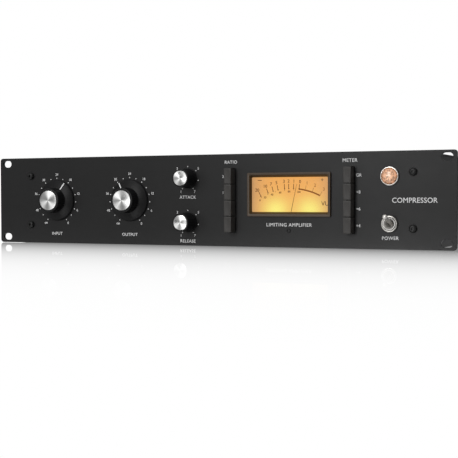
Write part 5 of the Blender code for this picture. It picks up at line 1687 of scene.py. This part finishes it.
@dataclass
class PilotLamp(SubAssembly):
    """The faceted jewel in its bright ring."""

    facets: int = 18
    dome: float = 3.6 * MM
    rings: tuple[tuple[float, float], ...] = (  # shares of the jewel's radius and of its dome's depth
        (0.30, 0.02), (0.58, 0.10), (0.80, 0.26), (0.95, 0.46), (1.0, 0.62),
    )
    jewel_seat: float = 0.5 * MM
    ring_edge: float = 0.25 * MM

    def build(self) -> None:
        """Model the jewel and the ring."""
        low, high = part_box("pilot_lamp_jewel")
        self.axis = axis_of("pilot_lamp_bezel")
        radius = (high.z - low.z) / 2 + self.jewel_seat
        self.model_jewel(low.y, high.y, radius)
        self.model_ring(radius + 0.1 * MM)
        self.bench.redress("pilot_lamp_holder", CASE_PLASTIC)

    def model_jewel(self, face: float, back: float, radius: float) -> None:
        """A domed lens of facets, each ring of them turned by half a step from the last.

        Args:
            face: The depth of its crown.
            back: The depth of its flat back.
            radius: Its greatest radius.
        """
        depth = self.dome
        profile = [(0.0, face)]
        profile += [(radius * share, face + depth * fall) for share, fall in self.rings]
        profile += [(radius, back), (0.0, back)]
        jewel = turned("pilot_jewel", profile, self.facets)
        half_step = pi / self.facets
        for share, fall in self.rings[::2]:

            def on_ring(point: Vector, share: float = share, fall: float = fall) -> bool:
                """Whether a point is on this ring of the dome."""
                level = abs(point.y - face - depth * fall) < MERGE * 20
                return level and hypot(point.x, point.z) > radius * share * 0.9

            with editing(jewel, "points", on_ring):
                bpy.ops.transform.rotate(value=half_step, orient_axis="Y", center_override=(0.0, 0.0, 0.0))
        with editing(jewel):
            bpy.ops.mesh.quads_convert_to_tris(quad_method="SHORTEST_DIAGONAL", ngon_method="BEAUTY")
        activate(jewel)
        bpy.ops.object.shade_flat()
        place(jewel, self.axis)
        glow = Vector((self.axis.x, face + 2 * MM, self.axis.z))
        self.bench.stand_for("pilot_lamp_jewel", jewel, AMBER_JEWEL, "jewel_amber", glow)

    def model_ring(self, inner: float) -> None:
        """The threaded tube and the polished ring at its front."""
        low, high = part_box("pilot_lamp_bezel")
        outer = (high.x - low.x) / 2
        tube = inner + 0.3 * MM
        foot = self.front - 0.1 * MM
        face, edge = low.y, self.ring_edge
        profile = [
            (inner, face + 1.2 * MM), (inner + 0.5 * MM, face + 0.4 * MM), (outer - 3 * edge, face),
            (outer - 2 * edge, face), (outer - edge * 0.8, face + edge * 0.4),
            (outer - edge * 0.2, face + edge), (outer, face + 2 * edge), (outer, foot), (tube, foot),
            (tube, high.y), (inner, high.y),
        ]
        ring = turned("pilot_lamp_ring", profile, 64)
        shade(ring, 40.0)
        place(ring, self.axis)
        self.bench.stand_for("pilot_lamp_bezel", ring, BRIGHT_NICKEL, "lamp_chrome", self.axis)


@dataclass
class PowerToggle(SubAssembly):
    """The bat-handle toggle: lever, threaded bushing, washer and round nut."""

    bushing_radius: float = 5.7 * MM
    mouth_radius: float = 4.7 * MM
    seat_radius: float = 2.8 * MM
    pivot_depth: float = 6.0 * MM
    thread_pitch: float = 0.8 * MM
    neck_radius: float = 1.6 * MM
    ball_radius: float = 2.2 * MM
    tip_radius: float = 2.4 * MM
    tilt: float = 16.0  # degrees above level, at rest
    grips: int = 36

    def build(self) -> None:
        """Model the lever, the bushing's collar and the nut."""
        self.axis = axis_of("power_toggle_nut")
        self.model_lever()
        self.model_body()
        self.model_nut()

    def model_lever(self) -> None:
        """The lever: pivot ball, slim neck and the rounded bat at its end."""
        pivot = self.bench.pivot("power_toggle_lever")
        tilt = radians(self.tilt)
        length = (pivot.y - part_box("power_toggle_lever")[0].y - self.tip_radius) / cos(tilt)
        steps = 10
        ball, tip = self.ball_radius, self.tip_radius
        profile = [(0.0, ball)]
        for step in range(1, steps):
            angle = radians(90 - 125 * step / (steps - 1))
            profile.append((ball * cos(angle), ball * sin(angle)))
        profile.append((self.neck_radius, -ball - 0.8 * MM))
        profile.append((self.neck_radius * 1.08, -length * 0.45))
        for step in range(steps + 1):
            angle = radians(62 - 152 * step / steps)
            profile.append((max(tip * cos(angle), 0.0), -length + tip * sin(angle)))
        profile[-1] = (0.0, -length - tip)
        lever = turned("power_toggle_bat", profile, 48)
        shade(lever, 50.0)
        lever.data.transform(Matrix.Translation(pivot) @ Matrix.Rotation(-tilt, 4, "X"))
        self.bench.stand_for("power_toggle_lever", lever, LEVER_NICKEL, "toggle_nickel", pivot)

    def model_body(self) -> None:
        """The switch's body behind the panel, and the threaded bushing with its tapering mouth."""
        low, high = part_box("power_toggle_body")
        pivot = self.front + self.pivot_depth
        floor = pivot + self.seat_radius
        radius, lip = self.bushing_radius, 0.25 * MM
        profile = [
            (0.0, floor), (self.seat_radius, floor), (self.seat_radius, pivot - MM),
            (self.mouth_radius, low.y + lip), (self.mouth_radius + lip, low.y), (radius - lip, low.y),
            (radius, low.y + lip),
        ]
        depth = low.y + lip + self.thread_pitch / 2
        while depth < self.front:
            profile += [(radius - 0.15 * MM, depth), (radius, depth + self.thread_pitch / 2)]
            depth += self.thread_pitch
        profile += [(radius, floor + MM), (0.0, floor + MM)]
        bushing = turned("bushing", profile, 48)
        shade(bushing, 35.0)
        place(bushing, self.axis)
        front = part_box("front_panel")[1].y + 0.3 * MM
        body = round_corners(block("power_switch_body", (low.x, front, low.z), high), MM)
        bore = prism("bore", 48, radius - MERGE * 10, front - MM, floor + MM)
        carve(body, [place(bore, self.axis)])
        soften(body, 0.25 * MM, angle=50.0)
        switch = join("power_switch_body", [body, bushing])
        self.bench.stand_for("power_toggle_body", switch, BUSHING_NICKEL, "toggle_body", self.axis)

    def model_nut(self) -> None:
        """The round nut, with fine grips round it and a step inside."""
        low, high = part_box("power_toggle_nut")
        outer = (high.x - low.x) / 2
        inner = self.bushing_radius + 0.3 * MM
        profile = [
            (inner, low.y + 0.25 * MM), (inner + 0.25 * MM, low.y), (outer - 0.75 * MM, low.y),
            (outer - 0.35 * MM, low.y + 0.15 * MM), (outer, low.y + 0.6 * MM), (outer, high.y - 0.1 * MM),
            (inner, high.y - 0.1 * MM),
        ]
        nut = turned("power_toggle_ring_nut", profile, self.grips * 2)
        step = pi / self.grips

        def between(point: Vector) -> bool:
            """Whether a point is on the rim, in a groove between two grips."""
            on_rim = hypot(point.x, point.z) > outer - MERGE * 10
            return on_rim and round(atan2(point.z, point.x) / step) % 2 == 1

        pressed = 1 - 0.12 * MM / outer
        with editing(nut, "points", between):
            bpy.ops.transform.resize(value=(pressed, 1.0, pressed), center_override=(0.0, 0.0, 0.0))
        shade(nut, 30.0)
        place(nut, self.axis)
        self.bench.stand_for("power_toggle_nut", nut, DULL_NICKEL, "toggle_nickel", self.axis)


@dataclass
class Chassis(SubAssembly):
    """The folded tray, the vented cover and the rear panel, with the screws that hold them."""

    sheet: float = 1.5 * MM
    edge: float = 0.35 * MM
    vent_length: float = 30 * MM
    vent_width: float = 3 * MM
    vent_pitch: float = 11 * MM
    vent_rows: tuple[float, ...] = (55 * MM, 95 * MM)
    vents_per_row: int = 8
    vent_centre: float = 110 * MM
    clearance: float = 0.3 * MM
    shell_radius: float = 11.8 * MM  # of the three-pin connectors
    inlet_lip: float = 2.75 * MM
    screw_inset: float = 12 * MM

    def build(self) -> None:
        """Model the cover, the rear panel and the screws, and redress the tray."""
        self.screw = COVER_SCREW.model("cover_screw")
        self.model_cover()
        self.model_rear_panel()
        self.bench.redress("chassis_tray", CHASSIS_PAINT)
        self.settle_screws()
        self.print_rear()

    def model_cover(self) -> None:
        """The cover with its turned-down lips and rounded vents."""
        low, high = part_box("top_cover")
        inner = high.x - self.sheet - self.clearance
        under = high.z - self.sheet
        cover = block("top_cover_sheet", (low.x, low.y, under), high)
        lips = []
        for side in (-1, 1):
            near, far = sorted((side * inner, side * (inner - self.sheet)))
            lips.append(block("lip", (near, low.y, low.z), (far, high.y, under + 0.4 * MM)))
        carve(cover, lips, "UNION")
        vents = []
        places = product((-1, 1), self.vent_rows, range(self.vents_per_row))
        for side, row, index in places:
            x = side * self.vent_centre + (index - (self.vents_per_row - 1) / 2) * self.vent_pitch
            y = self.rear - self.sheet - row
            half_x, half_y = self.vent_width / 2, self.vent_length / 2
            corner = (x - half_x, y - half_y, under - MM)
            blank = block("vent", corner, (x + half_x, y + half_y, high.z + MM))
            vents.append(round_corners(blank, half_x - MERGE * 10, axis=2, segments=5))
        carve(cover, vents)
        soften(cover, 0.2 * MM, angle=50.0)
        shade(cover, 20.0)
        self.bench.stand_for("top_cover", cover, CHASSIS_PAINT, "chassis_paint")

    def model_rear_panel(self) -> None:
        """The rear panel with a hole for each connector."""
        low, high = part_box("rear_panel")
        panel = block("rear_panel_sheet", low, high)
        front, back = low.y - MM, high.y + MM
        rounds = [(f"xlr_{name}", self.shell_radius + self.clearance) for name in PORTS]
        rounds += [(f"jack_{name}", JACK_THREAD + self.clearance) for name in PORTS]
        inlet = opening(*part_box("iec_inlet"), self.clearance - self.inlet_lip, front, back)
        carve(panel, [*drill(rounds, front, back, 48), inlet])
        carve(panel, [opening(*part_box("xlr_input_latch"), 2 * self.clearance, front, back)])
        soften(panel, 0.2 * MM, angle=50.0)
        shade(panel, 20.0)
        self.bench.stand_for("rear_panel", panel, CHASSIS_PAINT, "chassis_paint")

    def settle_screws(self) -> None:
        """Screws round the cover, the sides and the rear panel."""
        low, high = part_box("top_cover")
        tray_low, tray_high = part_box("chassis_tray")
        inset = self.screw_inset
        depths = (low.y + inset, (low.y + high.y) / 2, high.y - inset)
        top = tray_high.z - 9 * MM
        across = (tray_low.x + inset, -18 * MM, 100 * MM, tray_high.x - inset)
        sides = (tray_low.x, Facing.LEFT), (tray_high.x, Facing.RIGHT)
        cover = product((low.x + inset, 0.0, high.x - inset), (depths[0], depths[-1]), (high.z,))
        groups = {
            "cover": [(at, Facing.UP) for at in cover],
            "side": [(at, facing) for x, facing in sides for at in product((x,), depths, (10 * MM, top))],
            "rear": [(at, Facing.REAR) for at in product(across, (self.rear,), (9 * MM, top))],
        }
        for name, places in groups.items():
            screws = [place(copy_of(self.screw, "screw"), Vector(at), facing) for at, facing in places]
            joined = join(f"{name}_screws", screws)
            self.bench.settle(joined, BLACK_OXIDE, "chassis_tray", "screw_black")
        discard(self.screw)

    def print_rear(self) -> None:
        """Plain names above the rear connectors."""
        sheet = PrintSheet("rear_label_print")
        tall, small = 3.0 * MM, 2.2 * MM
        top = middle_of("rear_panel").z + 22 * MM
        words = [(f"{kind}_{name}", name.upper(), top, tall) for kind in ("xlr", "jack") for name in PORTS]
        words += [(f"xlr_{name}", "BALANCED", top - 44 * MM, small) for name in PORTS]
        words.append(("iec_inlet", "MAINS", top + 8 * MM, tall))
        for node, text, z, height in words:
            sheet.word(text, -middle_of(node).x, z, height, tracking=1.06)
        self.bench.settle(sheet.lift(self.rear, Facing.REAR), LABEL_INK, "rear_panel")


@dataclass
class RearConnectors(SubAssembly):
    """The three-pin connectors, the jack sockets and the mains inlet."""

    bore: float = 3.25 * MM
    nut_radius: float = 8.2 * MM
    washer_radius: float = 8.9 * MM
    flange: float = 2.3 * MM  # the thickness of a three-pin connector's flange
    screw_across: float = 10.4 * MM  # its screws' distances from its middle
    screw_up: float = 12.6 * MM

    def build(self) -> None:
        """Model the jacks with their nuts and the flange screws, and dress the rest."""
        for name in PORTS:
            self.bench.redress(f"xlr_{name}", SATIN_NICKEL)
            self.model_jack(name)
            self.settle_flange_screws(f"xlr_{name}")
        self.bench.redress("xlr_input_latch", PRESSED_STEEL)
        self.bench.redress("iec_inlet", CASE_PLASTIC)
        self.bench.redress("fuse_drawer", CASE_PLASTIC)

    def model_jack(self, name: str) -> None:
        """A jack socket, with its washer and hexagon nut outside the panel.

        Args:
            name: "input" or "output".
        """
        node = f"jack_{name}"
        low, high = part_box(node)
        body, lip = (high.x - low.x) / 2, 0.3 * MM
        inner_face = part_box("rear_panel")[0].y - lip
        thread, bore, tip = JACK_THREAD, self.bore, 0.4 * MM
        profile = [
            (0.0, low.y), (body - lip, low.y), (body, low.y + lip), (body, inner_face),
            (thread, inner_face), (thread, high.y - tip), (thread - tip, high.y), (bore + lip, high.y),
            (bore, high.y - lip), (bore, low.y + 2 * MM), (0.0, low.y + 2 * MM),
        ]
        axis = axis_of(node)
        jack = turned(f"{node}_socket", profile, 48)
        shade(jack, 35.0)
        place(jack, axis)
        self.bench.stand_for(node, jack, SATIN_NICKEL, "connector_nickel", axis)
        hole = thread + 0.05 * MM
        nut = prism(f"{node}_nut", 6, self.nut_radius, self.rear + 0.55 * MM, self.rear + 2.6 * MM)
        carve(nut, [prism("bore", 48, hole, self.rear, self.rear + 4 * MM)])
        soften(nut, 0.2 * MM, angle=40.0)
        shade(nut, 25.0)
        place(nut, axis)
        foot, edge, top = (self.rear + height * MM for height in (0.05, 0.4, 0.5))
        outer = self.washer_radius
        ring = [(hole, foot), (outer, foot), (outer, edge), (outer - 0.15 * MM, top), (hole, top)]
        washer = place(turned("washer", ring, 48), axis)
        pair = join(f"{node}_nut_and_washer", [nut, washer])
        self.bench.settle(pair, SATIN_NICKEL, node, "connector_nickel", centre=axis)

    def settle_flange_screws(self, node: str) -> None:
        """Two screws through a connector's flange, at opposite corners."""
        model = FLANGE_SCREW.model("flange_screw")
        screws = []
        for side in (-1, 1):
            shift = Vector((side * self.screw_across, self.rear + self.flange, side * self.screw_up))
            screws.append(place(copy_of(model, "screw"), axis_of(node) + shift, Facing.REAR))
        discard(model)
        self.bench.settle(join(f"{node}_screws", screws), BLACK_OXIDE, node, "screw_black")


@dataclass
class Electronics(SubAssembly):
    """The board and what stands on it, and the mains transformer."""

    resistor_columns: int = 12
    resistor_rows: int = 3
    resistor_pitch: tuple[float, float] = (4.2 * MM, 12 * MM)
    resistor_start: tuple[float, float] = (165 * MM, 18 * MM)  # from the board's corner
    resistor_lift: float = 1.3 * MM

    def build(self) -> None:
        """Dress the board and the transformers, and stand small components on the board."""
        self.bench.redress("main_board", BOARD_LAMINATE)
        for name in PORTS:
            self.bench.redress(f"{name}_transformer", PRESSED_STEEL)
        self.bench.redress("mains_transformer", CORE_LAMINATIONS, middle_of("mains_transformer"))
        self.model_capacitor()
        self.model_resistors()

    def model_capacitor(self) -> None:
        """The filter capacitor, with its crimped sleeve and scored top."""
        low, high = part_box("filter_capacitor")
        radius, top = (high.x - low.x) / 2, low.z - high.z
        profile = [
            (0.0, top), (radius - 1.6 * MM, top), (radius - 1.4 * MM, top),
            (radius - 0.9 * MM, top + 0.1 * MM), (radius, top + MM), (radius, top + 4 * MM),
            (radius - 0.8 * MM, top + 5 * MM), (radius, top + 6 * MM), (radius, -0.5 * MM),
            (radius - 0.5 * MM, 0.0), (0.0, 0.0),
        ]
        can = turned("filter_capacitor_can", profile, 48)
        shade(can, 35.0)
        centre = middle_of("filter_capacitor")
        place(can, Vector((centre.x, centre.y, low.z)), Facing.UP)
        self.bench.stand_for("filter_capacitor", can, CAPACITOR_SLEEVE, "capacitor_sleeve")

    def model_resistors(self) -> None:
        """Rows of small resistors lying on the board between the transformers."""
        low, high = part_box("main_board")
        cap, waist = 1.15 * MM, 0.95 * MM
        half = [(waist, 1.6 * MM), (cap, 2.0 * MM), (cap, 2.9 * MM), (0.9 * MM, 3.2 * MM), (0.0, 3.2 * MM)]
        body = [(radius, -depth) for radius, depth in reversed(half)] + half
        model = shade(turned("resistor", body, 16), 40.0)
        rows = []
        for column, row in product(range(self.resistor_columns), range(self.resistor_rows)):
            x = low.x + self.resistor_start[0] + column * self.resistor_pitch[0]
            y = low.y + self.resistor_start[1] + row * self.resistor_pitch[1]
            rows.append(copy_of(model, "resistor", (x, y, high.z + self.resistor_lift)))
        discard(model)
        self.bench.settle(join("board_resistors", rows), COPPER_WINDING, "main_board")


@dataclass(frozen=True)
class SoftBox:
    """A soft light that only the object sees."""

    name: str
    place: tuple[float, float, float]
    size: tuple[float, float]
    power: float


SOFT_BOXES = (
    SoftBox("tall_left", (-0.33, -1.90, 0.70), (0.55, 1.5), 19.0),
    SoftBox("broad_left", (-1.55, -1.80, 0.45), (1.1, 1.1), 4.5),
    SoftBox("overhead", (0.0, -0.9, 1.7), (1.8, 0.5), 4.0),
    SoftBox("narrow_right", (1.5, -1.1, 0.5), (0.25, 1.2), 1.5),
)


@dataclass
class Studio(SubAssembly):
    """The pale floor, the soft lights and the camera."""

    camera_offset: tuple[float, float, float] = (0.42624, -0.89242, 0.04738)  # from the panel's face
    yaw: float = 24.26
    pitch: float = -1.80
    roll: float = -0.115
    lens: float = 80.58
    reflection: float = 0.78
    fade: float = 5.2  # per metre from the unit
    fade_square: float = 9.95
    floor_bounce: float = 0.3  # of the floor's light on the unit
    surround: float = 0.2  # the light from around the unit
    ceiling: float = 0.8

    def build(self) -> None:
        """Set up the floor, the world, the lights and the camera."""
        self.make_camera()
        self.make_floor()
        self.make_world()
        self.make_lights()
        bpy.context.scene.view_settings.view_transform = "Standard"

    def make_camera(self) -> None:
        """The camera, in front of the panel and to its right."""
        data = bpy.data.cameras.new("camera")
        data.lens = self.lens
        data.clip_start, data.clip_end = 0.01, 50.0
        camera = bpy.data.objects.new("camera", data)
        bpy.context.scene.collection.objects.link(camera)
        x, y, z = self.camera_offset
        yaw = Matrix.Rotation(radians(self.yaw), 4, "Z")
        pitch = Matrix.Rotation(radians(90 + self.pitch), 4, "X")
        roll = Matrix.Rotation(radians(self.roll), 4, "Z")
        camera.matrix_world = Matrix.Translation((x, self.front + y, z)) @ yaw @ pitch @ roll
        bpy.context.scene.camera = camera

    def make_floor(self) -> None:
        """A white floor that mirrors the unit close to it and fades to plain white."""
        bpy.ops.mesh.primitive_plane_add(size=30.0, location=(0.0, 0.0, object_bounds()[0].z - 0.3 * MM))
        floor = bpy.context.object
        floor.name = "studio_floor"
        bpy.ops.object.transform_apply(location=True, rotation=True, scale=True)
        material = bpy.data.materials.new("studio_floor")
        material.use_nodes = True
        tree = material.node_tree
        tree.nodes.remove(tree.nodes["Principled BSDF"])
        parts = add_node(tree, "SeparateXYZ", {0: add_node(tree, "TexCoord").outputs["Object"]})
        low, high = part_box("front_panel")[0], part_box("rear_panel")[1]
        away = []
        for socket, start, end in ((parts.outputs[0], low.x, -low.x), (parts.outputs[1], low.y, high.y)):
            before = maths(tree, "SUBTRACT", start, socket)
            after = maths(tree, "SUBTRACT", socket, end)
            outside = maths(tree, "MAXIMUM", maths(tree, "MAXIMUM", before, after), 0.0)
            away.append(maths(tree, "MULTIPLY", outside, outside))
        squared = maths(tree, "ADD", *away)
        linear = maths(tree, "MULTIPLY", maths(tree, "SQRT", squared), -self.fade)
        falling = maths(tree, "MULTIPLY_ADD", squared, -self.fade_square, linear)
        share = maths(tree, "MULTIPLY", maths(tree, "EXPONENT", falling), self.reflection)
        seen = add_node(tree, "LightPath").outputs["Is Camera Ray"]
        strength = add_node(tree, "MapRange", {0: seen, 3: self.floor_bounce, 4: 1.0})
        white = add_node(tree, "Emission", {"Color": WHITE, "Strength": strength.outputs[0]})
        mirror = add_node(tree, "BsdfGlossy", {"Color": WHITE, "Roughness": 0.0})
        mixed = add_node(tree, "MixShader", {0: share, 1: white.outputs[0], 2: mirror.outputs[0]})
        feed(tree.nodes["Material Output"], {"Surface": mixed.outputs[0]})
        floor.data.materials.append(material)
        floor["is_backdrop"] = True

    def make_world(self) -> None:
        """A surround that is plain white to look at, and lights the unit softly from above."""
        world = bpy.data.worlds.new("studio")
        world.use_nodes = True
        tree = world.node_tree
        direction = add_node(tree, "SeparateXYZ", {0: add_node(tree, "TexCoord").outputs["Generated"]})
        above = add_node(
            tree, "MapRange", {0: direction.outputs[2], 1: 0.3, 2: 0.9, 3: self.surround, 4: self.ceiling}
        )
        path = add_node(tree, "LightPath")
        plain = maths(tree, "MAXIMUM", path.outputs["Is Camera Ray"], path.outputs["Is Singular Ray"])
        strength = maths(tree, "MAXIMUM", above.outputs[0], plain)
        feed(tree.nodes["Background"], {"Color": WHITE, "Strength": strength})
        bpy.context.scene.world = world

    def make_lights(self) -> None:
        """The soft boxes, aimed at the panel."""
        for box in SOFT_BOXES:
            data = bpy.data.lights.new(box.name, "AREA")
            data.shape = "RECTANGLE"
            data.size, data.size_y = box.size
            data.energy = box.power
            data.use_nodes = True
            tree = data.node_tree
            mirrored = add_node(tree, "LightPath").outputs["Is Singular Ray"]
            feed(tree.nodes["Emission"], {"Strength": maths(tree, "SUBTRACT", 1.0, mirrored)})
            light = bpy.data.objects.new(box.name, data)
            bpy.context.scene.collection.objects.link(light)
            light.location = box.place
            aim = Vector((0.0, self.front, 0.05)) - Vector(box.place)
            light.rotation_euler = aim.to_track_quat("-Z", "Y").to_euler()


def main() -> None:
    """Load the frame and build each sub-assembly in order."""
    logging.basicConfig(level=logging.INFO, format="%(message)s")
    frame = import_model()
    for old in ("Cube", "Light", "Camera"):
        if old in bpy.data.objects:
            discard(bpy.data.objects[old])
    bench = Bench(frame)
    assemblies: list[SubAssembly] = [
        FrontPanel(bench),
        PanelScrews(bench),
        Dial(bench, "input", LARGE_KNOB, 31.0, RIGHT_SPUN),
        Dial(bench, "output", LARGE_KNOB, -32.0, LEFT_SPUN),
        Dial(bench, "attack", SMALL_KNOB, -7.0, LEFT_SPUN),
        Dial(bench, "release", SMALL_KNOB, -76.0, RIGHT_SPUN),
        ButtonBank(bench, "ratio", RATIOS),
        ButtonBank(bench, "meter", METER_MODES),
        NeedleMeter(bench),
        PilotLamp(bench),
        PowerToggle(bench),
        Chassis(bench),
        RearConnectors(bench),
        Electronics(bench),
        Studio(bench),
    ]
    for assembly in assemblies:
        LOG.info("-- %s", type(assembly).__name__)
        assembly.build()
    LOG.info("%d pieces made", bench.made)


if __name__ == "__main__":
    main()
